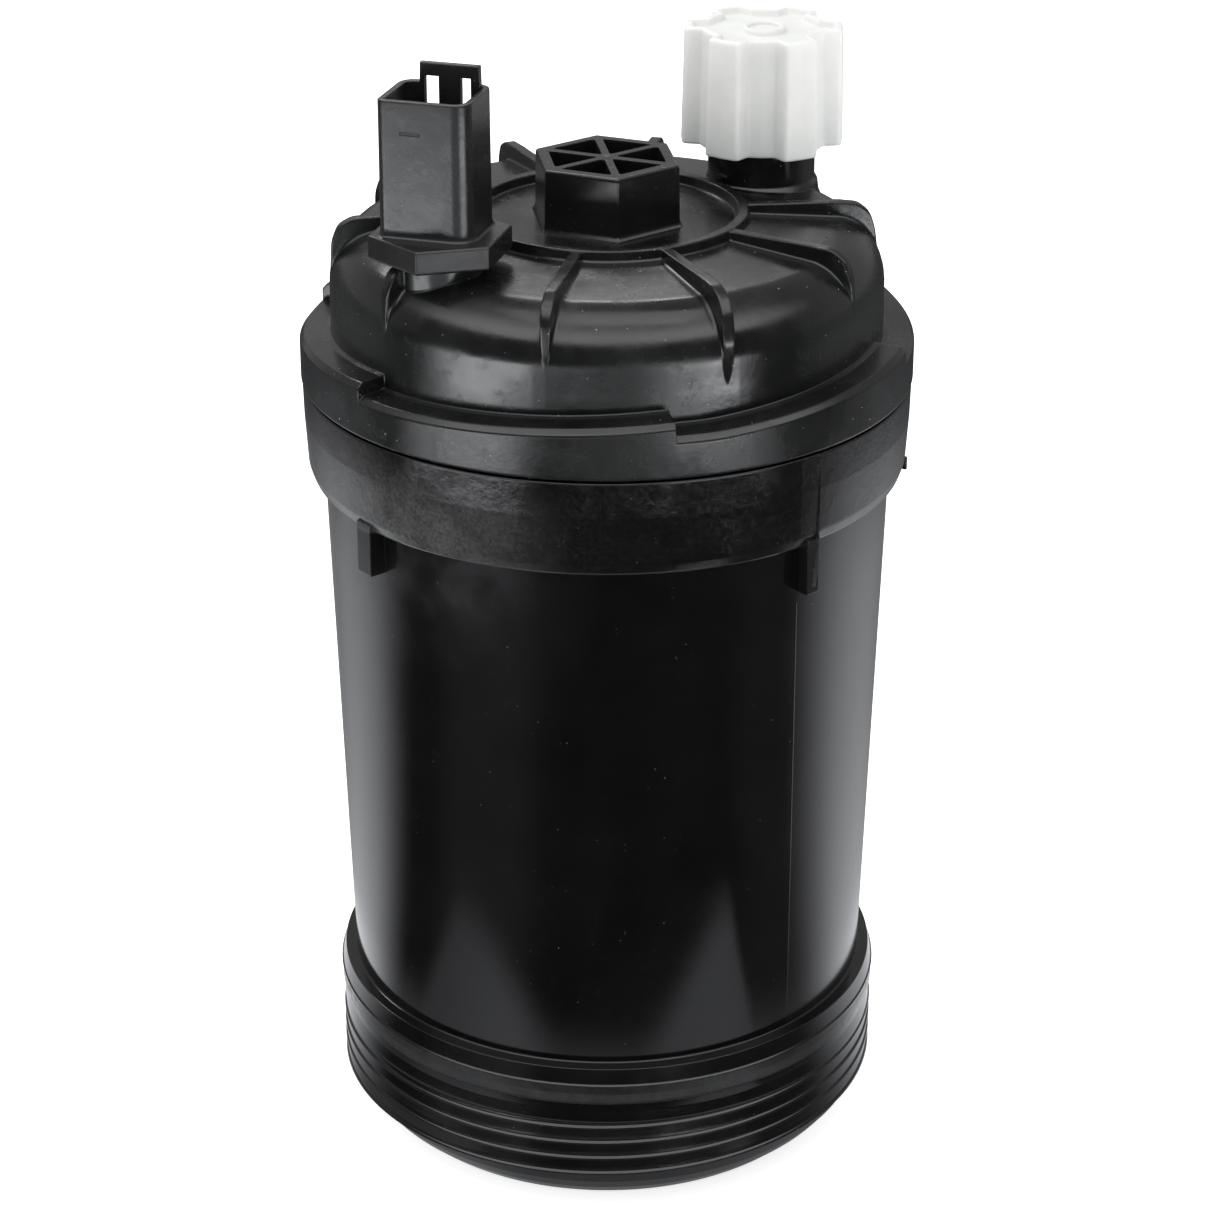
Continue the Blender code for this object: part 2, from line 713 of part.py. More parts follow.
def make_element(paper, fine_paper, plastic, rubber, mesh_cloth):
    low = ELEMENT_FOOT + PLATE_THICKNESS + GAP
    high = ELEMENT_HEAD - PLATE_THICKNESS - GAP
    inner_low = low + 2.2 * MM + GAP
    inner_high = high - 2.2 * MM - GAP
    inner_in, inner_out, inner_pleats = INNER_MEDIA
    outer_in, outer_out, outer_pleats = OUTER_MEDIA
    pleated("outer_media", paper, outer_in, outer_out, outer_pleats, low, high)
    pleated("inner_media", fine_paper, inner_in, inner_out, inner_pleats, inner_low, inner_high)
    tube("water_screen", mesh_cloth, SCREEN_RADIUS, 0.5 * MM, low, high)
    centre = tube("centre_tube", plastic, CENTRE_TUBE, 1.3 * MM, low, high)
    perforate(centre, CENTRE_TUBE, 3, 3, low, high)
    core = tube("inner_core", plastic, INNER_CORE, 1.3 * MM, inner_low, inner_high, SMALL_ROUND)
    perforate(core, INNER_CORE, 3, 2, inner_low, inner_high)
    for name, bottom in (("inner_lower_plate", low), ("inner_upper_plate", inner_high + GAP)):
        tube(name, plastic, CENTRE_TUBE - 1.6 * MM, 15.4 * MM, bottom, bottom + 2.2 * MM)
    tube(
        "lower_end_plate",
        plastic,
        PLATE_RADIUS,
        PLATE_RADIUS - 15.4 * MM,
        ELEMENT_FOOT,
        ELEMENT_FOOT + PLATE_THICKNESS,
    )
    turned(
        "upper_end_plate",
        [
            (0, ELEMENT_HEAD),
            (PLATE_RADIUS, ELEMENT_HEAD),
            (PLATE_RADIUS, ELEMENT_HEAD - PLATE_THICKNESS),
            (0, ELEMENT_HEAD - PLATE_THICKNESS),
        ],
        plastic,
    )
    head = RETAINER_FOOT + 4.0 * MM
    retainer = tube(
        "retainer_plate",
        plastic,
        BORE_RADIUS - GAP,
        BORE_RADIUS - 15.4 * MM - GAP,
        RETAINER_FOOT,
        head,
    )
    inlets = []
    for k in range(6):
        place = around(32.5 * MM, 60.0 * k)
        inlets.append(
            prism(f"inlet_{k}", 6.0 * MM, RETAINER_FOOT - MM, head + MM, 14, place, angle=5.0)
        )
    cut(retainer, *inlets)
    spacer = tube(
        "sump_spacer",
        plastic,
        SPACER_RADIUS,
        1.5 * MM,
        ELEMENT_HEAD + GAP,
        DOME_CREASE - DOME_THICKNESS,
        SMALL_ROUND,
    )
    perforate(spacer, SPACER_RADIUS, 1, 2, ELEMENT_HEAD, DOME_TOP)
    turned(
        "outlet_grommet",
        [
            (15.0 * MM, ELEMENT_FOOT + PLATE_THICKNESS),
            (15.0 * MM, 6.0 * MM),
            (OUTLET_RADIUS + 1.0 * MM, 5.0 * MM),
            (OUTLET_RADIUS, 6.8 * MM),
            (OUTLET_RADIUS, ELEMENT_FOOT + PLATE_THICKNESS - 1.5 * MM),
            (OUTLET_RADIUS + 1.0 * MM, ELEMENT_FOOT + PLATE_THICKNESS),
        ],
        rubber,
        SMALL_ROUND,
    )


clear_scene()
PARTS = new_collection("fuel_filter")
CUTTERS = new_collection("cutters")

BLACK = material("black_nylon", (0.012, 0.012, 0.013), 0.28)
MATTE = material("sensor_nylon", (0.02, 0.02, 0.021), 0.48)
NATURAL = material("natural_nylon", (0.86, 0.87, 0.85), 0.38)
INNER = material("inner_plastic", (0.05, 0.05, 0.052), 0.5)
RUBBER = material("seal_rubber", (0.02, 0.02, 0.02), 0.7)
BRASS = material("tinned_brass", (0.72, 0.66, 0.5), 0.3, 1.0)
STEEL = material("probe_steel", (0.6, 0.6, 0.6), 0.25, 1.0)
PAPER = material("filter_paper", (0.78, 0.72, 0.55), 0.9)
FINE_PAPER = material("fine_filter_paper", (0.86, 0.85, 0.8), 0.9)
SCREEN = material("water_screen_cloth", (0.75, 0.76, 0.74), 0.8)

make_shell(BLACK)
make_flange_seal(RUBBER)
make_end_cap(BLACK)
make_element(PAPER, FINE_PAPER, INNER, RUBBER, SCREEN)
make_sensor(MATTE, RUBBER, BRASS, STEEL)
make_drain(NATURAL, INNER, RUBBER)
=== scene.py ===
"""Looks for the fuel filter cartridge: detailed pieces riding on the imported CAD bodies.

Shapes are written in millimetres. Angles are degrees from the front (-Y), growing towards +X.
"""
import math

import bmesh
import bpy
import numpy as np
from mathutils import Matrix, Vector


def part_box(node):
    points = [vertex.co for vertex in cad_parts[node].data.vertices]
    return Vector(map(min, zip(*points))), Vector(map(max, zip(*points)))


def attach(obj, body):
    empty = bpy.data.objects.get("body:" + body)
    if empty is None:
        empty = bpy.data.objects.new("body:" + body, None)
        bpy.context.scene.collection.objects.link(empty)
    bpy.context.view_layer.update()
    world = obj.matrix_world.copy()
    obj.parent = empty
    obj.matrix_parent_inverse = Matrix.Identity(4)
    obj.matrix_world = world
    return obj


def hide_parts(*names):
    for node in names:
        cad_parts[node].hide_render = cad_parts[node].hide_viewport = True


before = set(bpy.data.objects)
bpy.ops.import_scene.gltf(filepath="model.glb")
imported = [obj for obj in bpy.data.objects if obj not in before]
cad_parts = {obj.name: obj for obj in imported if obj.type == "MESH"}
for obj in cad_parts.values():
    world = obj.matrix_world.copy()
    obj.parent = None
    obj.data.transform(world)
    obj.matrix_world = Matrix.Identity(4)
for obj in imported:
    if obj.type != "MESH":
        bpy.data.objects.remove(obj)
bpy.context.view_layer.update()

MM = 0.001
ROOT = "cartridge"
SENSOR_CENTRE = (sum(c.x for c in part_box("sensor_o_ring")) / 2 / MM,
                 sum(c.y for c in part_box("sensor_o_ring")) / 2 / MM)
DRAIN_CENTRE = (sum(c.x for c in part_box("drain_face_seal")) / 2 / MM,
                sum(c.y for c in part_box("drain_face_seal")) / 2 / MM)
SENSOR_TURN = -16.4
RIB_ANGLES = [-12.0, 24.0, 60.0, 96.0, 132.0, 168.0, 204.0, 240.0, 276.0, 310.0]
RIB_ENDS = [186.5, 182.0, 189.0, 190.0, 188.0, 188.0, 188.0, 188.0, 188.0, 186.5]
STEP_ANGLES = [12.0, 72.0, 132.0, 192.0, 252.0, 309.6]
RIM_LOW, STEP_RISE = 174.2, 2.7
THREAD_START, THREAD_PITCH, THREAD_TURNS = 7.8, 3.7, 4
# each lug's first and last angle, and the height of its foot
LUGS = [(-53.2, -49.0, 137.2), (39.3, 42.3, 136.5), (185.0, 189.0, 137.0)]
LUG_TOP = 148.0
MOULD_STEP = 0.5
HEX_RADIUS, HEX_ANGLE = 15.55, 8.0
SHROUD_FLOOR, SHROUD_RIM, TAB_TOP = 212.0, 231.5, 235.22
LOBE_ANGLE = -33.0
LONGEST_EDGE = 9
CORNER_POINTS = 7


# ---------------------------------------------------------------- materials
class Nodes:
    """A node tree, with short ways to add and link nodes."""

    def __init__(self, tree):
        self.tree = tree

    def node(self, kind, **settings):
        made = self.tree.nodes.new(kind)
        for key, value in settings.items():
            setattr(made, key, value)
        return made

    def link(self, source, target):
        self.tree.links.new(source, target)

    def math(self, operation, a, b):
        """One calculation on two values, each a number or a socket."""
        made = self.node("ShaderNodeMath", operation=operation)
        for socket, value in zip(made.inputs, (a, b)):
            if isinstance(value, (int, float)):
                socket.default_value = value
            else:
                self.link(value, socket)
        return made.outputs[0]

    def times(self, first, *others):
        """The product of several values."""
        for other in others:
            first = self.math("MULTIPLY", first, other)
        return first

    def ramp(self, source, low, high, start=0.0, end=1.0, kind="LINEAR"):
        """source mapped so that low gives start and high gives end, clamped."""
        made = self.node("ShaderNodeMapRange", clamp=True, interpolation_type=kind)
        made.inputs["From Min"].default_value = low
        made.inputs["From Max"].default_value = high
        made.inputs["To Min"].default_value = start
        made.inputs["To Max"].default_value = end
        self.link(source, made.inputs["Value"])
        return made.outputs["Result"]


class Graph(Nodes):
    """A material of the part, made from object coordinates."""

    def __init__(self, name):
        self.material = bpy.data.materials.new(name)
        self.material.use_nodes = True
        super().__init__(self.material.node_tree)
        self.shader = self.tree.nodes["Principled BSDF"]
        self.place = self.node("ShaderNodeTexCoord").outputs["Object"]

    def scaled(self, scale):
        mapping = self.node("ShaderNodeMapping")
        mapping.inputs["Scale"].default_value = scale
        self.link(self.place, mapping.inputs["Vector"])
        return mapping.outputs["Vector"]

    def noise(self, scale, detail=4.0, rough=0.55, stretch=None, distortion=0.0):
        """Soft noise with features about 1/scale metres across."""
        made = self.node("ShaderNodeTexNoise")
        made.inputs["Scale"].default_value = scale
        made.inputs["Detail"].default_value = detail
        made.inputs["Roughness"].default_value = rough
        made.inputs["Distortion"].default_value = distortion
        self.link(self.scaled(stretch) if stretch else self.place, made.inputs["Vector"])
        return made.outputs["Fac"]

    def mix(self, amount, first, second):
        """Two colours mixed by amount; each is a tuple or a socket."""
        made = self.node("ShaderNodeMix", data_type="RGBA")
        self.link(amount, made.inputs["Factor"])
        for key, value in ((6, first), (7, second)):
            if isinstance(value, tuple):
                made.inputs[key].default_value = (*value, 1.0)
            else:
                self.link(value, made.inputs[key])
        return made.outputs[2]

    def specks(self, scale, size, share):
        """Small round flecks: 1 inside a fleck. share is how many cells hold one."""
        cells = self.node("ShaderNodeTexVoronoi", feature="F1")
        cells.inputs["Scale"].default_value = scale
        self.link(self.place, cells.inputs["Vector"])
        near = self.ramp(cells.outputs["Distance"], size * 0.6, size, 1.0, 0.0)
        pick = self.node("ShaderNodeSeparateColor")
        self.link(cells.outputs["Color"], pick.inputs["Color"])
        chosen = self.math("GREATER_THAN", pick.outputs["Red"], 1.0 - share)
        return self.times(near, chosen)

    def bump(self, height, distance, strength=1.0, below=None):
        made = self.node("ShaderNodeBump")
        made.inputs["Distance"].default_value = distance
        made.inputs["Strength"].default_value = strength
        self.link(height, made.inputs["Height"])
        if below:
            self.link(below, made.inputs["Normal"])
        return made.outputs["Normal"]

    def rounded_edges(self, radius):
        made = self.node("ShaderNodeBevel", samples=6)
        made.inputs["Radius"].default_value = radius
        return made.outputs["Normal"]

    def finish(self, colour=None, roughness=None, normal=None, **values):
        for source, name in ((colour, "Base Color"), (roughness, "Roughness"), (normal, "Normal")):
            if isinstance(source, tuple):
                self.shader.inputs[name].default_value = (*source, 1.0)
            elif isinstance(source, (int, float)):
                self.shader.inputs[name].default_value = source
            elif source:
                self.link(source, self.shader.inputs[name])
        for key, value in values.items():
            self.shader.inputs[key.replace("_", " ")].default_value = value
        return self.material


def collar_wear(g, marks, pits):
    """The shell's uneven places: a mottled collar, a duller right side, haze under the collar.

    marks and pits come back with these added, and the third value is a painted sheen: a pale tint
    on the front left of the collar.
    """
    place = g.node("ShaderNodeSeparateXYZ")
    g.link(g.place, place.inputs[0])
    across, along, up = place.outputs["X"], place.outputs["Y"], place.outputs["Z"]
    upper = g.ramp(up, 0.1462, 0.1470)
    side = g.times(g.ramp(across, 0.0371, 0.0374), g.ramp(up, 0.0352, 0.0356))
    blotch = g.ramp(g.noise(75, 4, 0.6), 0.42, 0.68)
    mottle = g.times(g.ramp(g.noise(900, 5, 0.7), 0.4, 0.7), g.ramp(blotch, 0, 1, 0.35, 1.0))
    haze = g.times(g.ramp(up, 0.112, 0.140), g.ramp(across, 0.0, -0.026),
                   g.ramp(up, 0.1470, 0.1460), g.ramp(g.noise(60, 5, 0.65), 0.35, 0.65))
    # painted sheen: a pale mottled tint on the front left of the collar
    painted_sheen = g.times(g.ramp(across, -0.006, -0.031), g.ramp(across, -0.062, -0.043),
                    g.ramp(along, 0.0, -0.02), upper, g.ramp(up, 0.166, 0.155),
                    g.ramp(g.noise(1300, 5, 0.7), 0.34, 0.68, 0.35, 1.0),
                    g.ramp(g.noise(130, 4, 0.6), 0.35, 0.65, 0.55, 1.0))
    for amount in (g.times(upper, g.ramp(mottle, 0, 1, 0.0, 0.42)), g.times(side, 0.22),
                   g.times(haze, 0.5)):
        marks = g.math("ADD", marks, amount)
    return marks, g.times(pits, g.ramp(upper, 0, 1, 0.06, 1.0)), painted_sheen


def moulded_plastic(name, colour, dusty, rough, grain=0.06, dust=0.05, scuff=0.3, edge=0.35,
                    cloudy=1.2, pitted=0.0, collar=False):
    """Injection-moulded black plastic: uneven gloss, faint grain, scuffs and dust flecks.

    collar adds the shell's own uneven places and a painted sheen on the collar.
    """
    g = Graph(name)
    patches = g.noise(55, 5, 0.6)
    worn = g.ramp(g.noise(230, 7, 0.72, distortion=0.4), 0.54, 0.8)
    streaks = g.ramp(g.noise(120, 6, 0.7, stretch=(1, 1, 0.16)), 0.58, 0.82)
    marks = g.times(g.math("MAXIMUM", worn, streaks), scuff)
    flecks = g.math("MAXIMUM", g.specks(520, 0.075, 0.10), g.specks(1100, 0.11, 0.06))
    if pitted:
        pits = g.times(g.noise(800, 5, 0.7), g.ramp(g.noise(110, 4, 0.6), 0.38, 0.62))
    if collar:
        marks, pits, painted_sheen = collar_wear(g, marks, pits)
    tint = g.mix(g.ramp(patches, 0.3, 0.75), colour, dusty)
    tint = g.mix(g.times(marks, 0.04), tint, (0.25, 0.25, 0.26))
    tint = g.mix(g.times(flecks, dust), tint, (0.75, 0.74, 0.70))
    # painted sheen: the collar's front left is mixed towards a paler grey
    if collar:
        tint = g.mix(g.times(painted_sheen, 0.36), tint, (0.20, 0.20, 0.205))
    gloss = g.math("ADD", g.ramp(patches, 0.35, 0.68, rough * 0.85, rough * cloudy),
                   g.times(marks, 0.32))
    gloss = g.math("ADD", gloss, g.times(flecks, 0.3))
    normal = g.rounded_edges(edge * MM) if edge else None
    normal = g.bump(g.noise(1500, 3, 0.6), grain * 0.1 * MM, 0.6, normal)
    normal = g.bump(g.noise(420, 4, 0.6), grain * 0.25 * MM, 0.5, normal)
    normal = g.bump(g.noise(95, 3, 0.5), 0.05 * MM, 0.5, normal)
    if pitted:
        normal = g.bump(pits, pitted * MM, 1.0, normal)
    return g.finish(tint, gloss, normal)


def white_nylon():
    g = Graph("nylon_natural")
    height = g.node("ShaderNodeSeparateXYZ")
    g.link(g.place, height.inputs[0])
    # painted shade: the knob is tinted a darker bluish grey towards its foot
    lower = g.ramp(height.outputs["Z"], 0.205, 0.217, 1.0, 0.0)
    cloud = g.noise(140, 4, 0.6)
    tint = g.mix(g.ramp(cloud, 0.35, 0.7), (0.80, 0.798, 0.785), (0.74, 0.742, 0.735))
    tint = g.mix(g.times(lower, 0.5), tint, (0.60, 0.62, 0.635))
    gloss = g.ramp(g.noise(300, 5, 0.6), 0.3, 0.7, 0.33, 0.47)
    normal = g.bump(g.noise(700, 4, 0.6), 0.012 * MM, 0.5, g.rounded_edges(0.3 * MM))
    return g.finish(tint, gloss, normal, Subsurface_Weight=0.35, Subsurface_Scale=0.004,
                    Subsurface_Radius=(1.0, 0.95, 0.9), IOR=1.5)


def rubber(name, rough=0.5):
    g = Graph(name)
    tint = g.mix(g.ramp(g.noise(260, 5), 0.35, 0.7), (0.006, 0.006, 0.0065), (0.012, 0.012, 0.0125))
    gloss = g.ramp(g.noise(500, 4), 0.3, 0.7, rough, rough + 0.15)
    return g.finish(tint, gloss, g.bump(g.noise(1600, 3), 0.015 * MM, 0.6))


def bare_metal(name, colour, rough):
    g = Graph(name)
    lines = g.noise(900, 4, 0.6, stretch=(1, 1, 0.05))
    tint = g.mix(g.ramp(g.noise(160, 4), 0.3, 0.75), colour, tuple(c * 0.8 for c in colour))
    gloss = g.ramp(lines, 0.3, 0.7, rough * 0.8, rough * 1.3)
    return g.finish(tint, gloss, g.bump(lines, 0.01 * MM, 0.5), Metallic=1.0)


def filter_paper(name, light, dark):
    g = Graph(name)
    fibres = g.noise(800, 7, 0.7, distortion=0.8)
    tint = g.mix(g.ramp(fibres, 0.3, 0.75), light, dark)
    return g.finish(tint, g.ramp(fibres, 0.3, 0.7, 0.8, 0.95), g.bump(fibres, 0.08 * MM, 0.8))


def woven(name, light, dark):
    g = Graph(name)
    warp = g.node("ShaderNodeTexWave", bands_direction="Z")
    warp.inputs["Scale"].default_value = 320
    g.link(g.place, warp.inputs["Vector"])
    weft = g.node("ShaderNodeTexWave", bands_direction="DIAGONAL")
    weft.inputs["Scale"].default_value = 260
    g.link(g.scaled((1, 1, 0.02)), weft.inputs["Vector"])
    weave = g.times(warp.outputs["Fac"], weft.outputs["Fac"])
    return g.finish(g.mix(weave, dark, light), g.ramp(weave, 0, 1, 0.9, 0.7),
                    g.bump(weave, 0.15 * MM, 0.8))


BODY = moulded_plastic("plastic_body", (0.002, 0.002, 0.0023), (0.004, 0.004, 0.0044), 0.12,
                       grain=0.03, dust=0.10, scuff=0.12, edge=0.25, pitted=0.05, collar=True)
CAP = moulded_plastic("plastic_cap", (0.004, 0.0042, 0.0042), (0.0095, 0.010, 0.010), 0.17,
                      grain=0.09, dust=0.6, scuff=0.5, edge=0.45, cloudy=1.9, pitted=0.02)
HEX = moulded_plastic("plastic_hex", (0.005, 0.005, 0.005), (0.010, 0.010, 0.010), 0.22,
                      grain=0.1, dust=0.15, scuff=0.35, edge=0.3)
SENSOR = moulded_plastic("plastic_sensor", (0.009, 0.009, 0.0095), (0.014, 0.014, 0.015), 0.25,
                         grain=0.25, dust=0.2, scuff=0.3, edge=0.35, cloudy=1.5)
INNER = moulded_plastic("plastic_inner", (0.03, 0.03, 0.031), (0.045, 0.045, 0.045), 0.45,
                        grain=0.15, dust=0.0, scuff=0.3, edge=0.0)
NYLON = white_nylon()
RUBBER = rubber("rubber_seal")
SEAL = rubber("rubber_band", 0.22)
BRASS = bare_metal("metal_terminal", (0.72, 0.66, 0.5), 0.28)
STEEL = bare_metal("metal_probe", (0.6, 0.6, 0.61), 0.25)
GATE = moulded_plastic("plastic_gate", (0.07, 0.045, 0.03), (0.11, 0.07, 0.045), 0.5, dust=0.0)


# ---------------------------------------------------------------- mesh helpers
def finish_piece(obj, look, body, nodes=(), sharp=32.0):
    """Material, shading and the frame's claims for one piece; sharp is an angle in degrees."""
    obj.data.materials.clear()
    obj.data.materials.append(look)
    obj.data.shade_smooth()
    obj.data.set_sharp_from_angle(angle=math.radians(sharp))
    normals = obj.modifiers.new("Normals", "WEIGHTED_NORMAL")
    normals.keep_sharp = True
    normals.weight = 60
    if nodes:
        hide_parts(*nodes)
    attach(obj, body)
    return obj


def new_object(name, verts, faces):
    """verts in millimetres."""
    mesh = bpy.data.meshes.new(name)
    mesh.from_pydata([tuple(v * MM for v in p) for p in verts], [], faces)
    bm = bmesh.new()
    bm.from_mesh(mesh)
    bmesh.ops.remove_doubles(bm, verts=bm.verts, dist=0.0005 * MM)
    bmesh.ops.dissolve_degenerate(bm, edges=bm.edges, dist=0.0002 * MM)
    bmesh.ops.recalc_face_normals(bm, faces=bm.faces)
    bm.to_mesh(mesh)
    bm.free()
    obj = bpy.data.objects.new(name, mesh)
    bpy.context.scene.collection.objects.link(obj)
    return obj


def grid_object(name, points, loop_rows=False, caps=False):
    """points[row][column] is (x, y, z), each row a closed ring.

    loop_rows joins the last row to the first, and caps closes the first and last rows.
    """
    points = np.asarray(points, float)
    rows, cols = points.shape[:2]
    faces = []
    for i in range(rows if loop_rows else rows - 1):
        here, above = i * cols, (i + 1) % rows * cols
        for j in range(cols):
            after = (j + 1) % cols
            faces.append((here + j, here + after, above + after, above + j))
    if caps:
        faces.append(tuple(range(cols)))
        faces.append(tuple(range((rows - 1) * cols, rows * cols)))
    return new_object(name, points.reshape(-1, 3), faces)


def rounded(corners, steps=4):
    """A polyline through (x, y) or (x, y, radius) corners, each corner rounded by its radius."""
    points = [np.array(c[:2], float) for c in corners]
    radii = [c[2] if len(c) > 2 else 0.0 for c in corners]
    out = [points[0]]
    for before, here, after, radius in zip(points, points[1:], points[2:], radii[1:]):
        if radius <= 0:
            out.append(here)
            continue
        first, second = before - here, after - here
        reach_a, reach_b = np.linalg.norm(first), np.linalg.norm(second)
        first, second = first / reach_a, second / reach_b
        half = math.acos(max(-1.0, min(1.0, float(first @ second)))) / 2
        back = min(radius / max(math.tan(half), 1e-6), reach_a * 0.48, reach_b * 0.48)
        start, end = here + first * back, here + second * back
        for k in range(steps + 1):
            t = k / steps
            out.append(start * (1 - t) ** 2 + here * 2 * t * (1 - t) + end * t * t)
    out.append(points[-1])
    return out


def closed_rounded(corners, steps=4):
    """As rounded, for a closed outline."""
    ring = [*corners[-1:], *corners, *corners[:1]]
    return rounded(ring, steps)[1:-1]


def revolve(profile, steps=160, centre=(0.0, 0.0)):
    """Grid points of a profile of (r, z) turned about an upright axis."""
    angles = np.linspace(0, 2 * math.pi, steps, endpoint=False)
    sin, cos = np.sin(angles), -np.cos(angles)
    return [[(centre[0] + r * s, centre[1] + r * c, z) for s, c in zip(sin, cos)]
            for r, z in profile]


def turned(name, profile, steps=160, centre=(0.0, 0.0), loop=False):
    """A turned piece; loop closes a profile that runs round a wall."""
    return grid_object(name, revolve(profile, steps, centre), loop_rows=loop)


def joined(name, *objects):
    """One object holding the meshes of several."""
    bm = bmesh.new()
    for obj in objects:
        bm.from_mesh(obj.data)
        bpy.data.objects.remove(obj)
    mesh = bpy.data.meshes.new(name)
    bm.to_mesh(mesh)
    bm.free()
    obj = bpy.data.objects.new(name, mesh)
    bpy.context.scene.collection.objects.link(obj)
    return obj


def carve(obj, others):
    """obj with the others cut out of it; the others are used up."""
    for other in others:
        step = obj.modifiers.new(other.name, "BOOLEAN")
        step.operation = "DIFFERENCE"
        step.solver = "EXACT"
        step.object = other
    graph = bpy.context.evaluated_depsgraph_get()
    mesh = bpy.data.meshes.new_from_object(obj.evaluated_get(graph))
    obj.modifiers.clear()
    obj.data = mesh
    for other in others:
        bpy.data.objects.remove(other)
    return obj


def polar(radius, angle):
    """The plan point at an angle from the front."""
    turn = math.radians(angle)
    return radius * math.sin(turn), -radius * math.cos(turn)


def local_turn(points, centre, angle):
    """Outline points turned by angle about the origin, then moved to a centre."""
    c, s = math.cos(math.radians(angle)), math.sin(math.radians(angle))
    return [(centre[0] + x * c - y * s, centre[1] + x * s + y * c) for x, y in points]


def loft(name, outlines, caps=True):
    """outlines: list of (points, z) with equal counts."""
    rows = [[(x, y, z) for x, y in points] for points, z in outlines]
    return grid_object(name, rows, caps=caps)


def cylinder(name, radius, low, high, centre, steps=96):
    """An upright solid cylinder."""
    return grid_object(name, revolve([(radius, low), (radius, high)], steps, centre), caps=True)


def polygon(radius, sides, vertex_angle, corner):
    """A regular outline with rounded corners, its first corner at vertex_angle."""
    points = [polar(radius, vertex_angle + 360.0 * k / sides) for k in range(sides)]
    return closed_rounded([(x, y, corner) for x, y in points])


# ---------------------------------------------------------------- shell
def make_shell():
    """The wall's outline, from the collar's rim down the outside and up the inside."""
    profile = rounded([
        (60.9, 165.9), (61.75, 165.9, 0.35), (61.6, 158.6, 6), (61.05, 148.9, 3),
        (60.2, 146.4, 1.3), (57.8, 145.8, 0.3), (54.6, 34.9, 0.5), (57.0, 34.7, 0.12),
        (57.7, 31.5, 0.1), (58.0, 31.15, 0.12), (58.0, 30.9, 0.05), (55.5, 30.85),
        (55.5, 26.3), (56.7, 26.3, 0.3), (56.9, 24.6, 1.5), (57.55, 21.9, 0.8),
        (55.75, 21.0, 0.6), (55.75, 10.2, 0.3), (57.1, 9.5, 0.5), (55.2, 6.2, 1.5),
        (53.0, 3.4, 2.0), (49.8, 0.45, 0.6), (49.1, 0.0),
        (46.6, 0.0, 0.2), (46.4, 0.6, 0.2), (46.4, 37.5, 3), (52.0, 45.0, 3), (54.9, 145.0, 2),
        (54.9, 165.9, 0.2), (60.9, 165.9)])
    heights = []
    for (r0, z0), (r1, z1) in zip(profile, profile[1:]):
        pieces = max(1, int(math.hypot(r1 - r0, z1 - z0) // LONGEST_EDGE))
        heights += [(r0 + (r1 - r0) * k / pieces, z0 + (z1 - z0) * k / pieces)
                    for k in range(pieces)]
    shell = turned("shell_wall", heights, 192, loop=True)
    # the two halves of the mould meet here, so the collar steps up a little to one side
    for vertex in shell.data.vertices:
        x, y, z = (c / MM for c in vertex.co)
        angle = math.degrees(math.atan2(x, -y))
        if 42.6 < angle < 138 and 145.2 < z < 150.5 and math.hypot(x, y) > 57.5:
            vertex.co.z += MOULD_STEP * MM
    return shell


def make_thread():
    """The base's external right-hand thread, from section points of (rise, radius)."""
    section = [(-0.62, 54.9), (-0.5, 56.5), (-0.36, 57.3), (-0.22, 57.66), (-0.08, 57.78),
               (0.1, 57.78), (0.28, 57.68), (0.44, 57.52), (0.58, 57.36), (0.8, 57.26),
               (1.6, 57.06), (2.4, 56.84), (3.12, 56.66), (3.25, 54.9)]
    steps, fade_steps, buried = 176, 14, 55.0
    rows = []
    count = THREAD_TURNS * steps
    for k in range(count + 1):
        share = k / steps
        fade = min(1.0, k / fade_steps, (count - k) / fade_steps)
        height = THREAD_START + THREAD_PITCH * share
        rows.append([(*polar(buried + (r - buried) * fade, 180.0 + 360.0 * share), height + dz)
                     for dz, r in section])
    return grid_object("shell_thread", rows, caps=True)


def make_lug(name, corners, low, high):
    """An upright block under the collar from plan corners that run round its outline."""
    outline = closed_rounded([(x, y, 0.15) for x, y in corners], 2)
    mean = np.mean(np.array(outline), axis=0)
    small = [tuple(mean + (np.array(p) - mean) * 0.955) for p in outline]
    rows = [(small, low), (outline, low + 0.25), (outline, high)]
    return loft(name, rows)


def thin_line(name, path, width, height):
    """A fine raised flash line along (angle, radius, z) points."""
    rows = []
    for angle, radius, z in path:
        half = math.degrees(width / 2 / radius)
        row = []
        for share, rise in ((-1.0, -0.25), (-0.5, 0.6), (0.0, 1.0), (0.5, 0.6), (1.0, -0.25)):
            x, y = polar(radius + height * rise, angle + half * share)
            row.append((x, y, z))
        rows.append(row)
    return grid_object(name, rows, caps=True)


shell_parts = [make_shell(), make_thread()]
for number, (first, last, low) in enumerate(LUGS):
    corners = [polar(56.5, first), polar(61.25, first), polar(61.25, last), polar(56.5, last)]
    shell_parts.append(make_lug(f"lug_{number}", corners, low, LUG_TOP))
shell_parts.append(thin_line("flash_collar", [
    (41.3, 61.74, 165.8), (41.5, 61.64, 158.6), (41.75, 61.15, 149.4), (41.8, 61.3, 147.0),
    (41.4, 61.3, 141.0), (41.0, 61.28, 138.0)], 0.7, 0.34))
nib = polar(61.0, 84.0)
shell_parts.append(cylinder("flash_nib", 0.5, 146.4, 149.0, nib, 12))


def taper(z):
    """The barrel's outer radius at a height."""
    return 54.5 + (z - 34.8) * (57.8 - 54.5) / 110.9


shell_parts.append(thin_line("flash_body", [
    (40.1 + 3.0 * (133.5 - z) / 98.0, taper(z), z) for z in np.linspace(133.5, 35.3, 14)],
    0.3, 0.05))
shell_parts.append(thin_line("flash_back", [
    (222.5, taper(z), z) for z in np.linspace(145.5, 35.3, 14)], 0.3, 0.05))
finish_piece(joined("shell_skin", *shell_parts), BODY, ROOT, ["shell"])

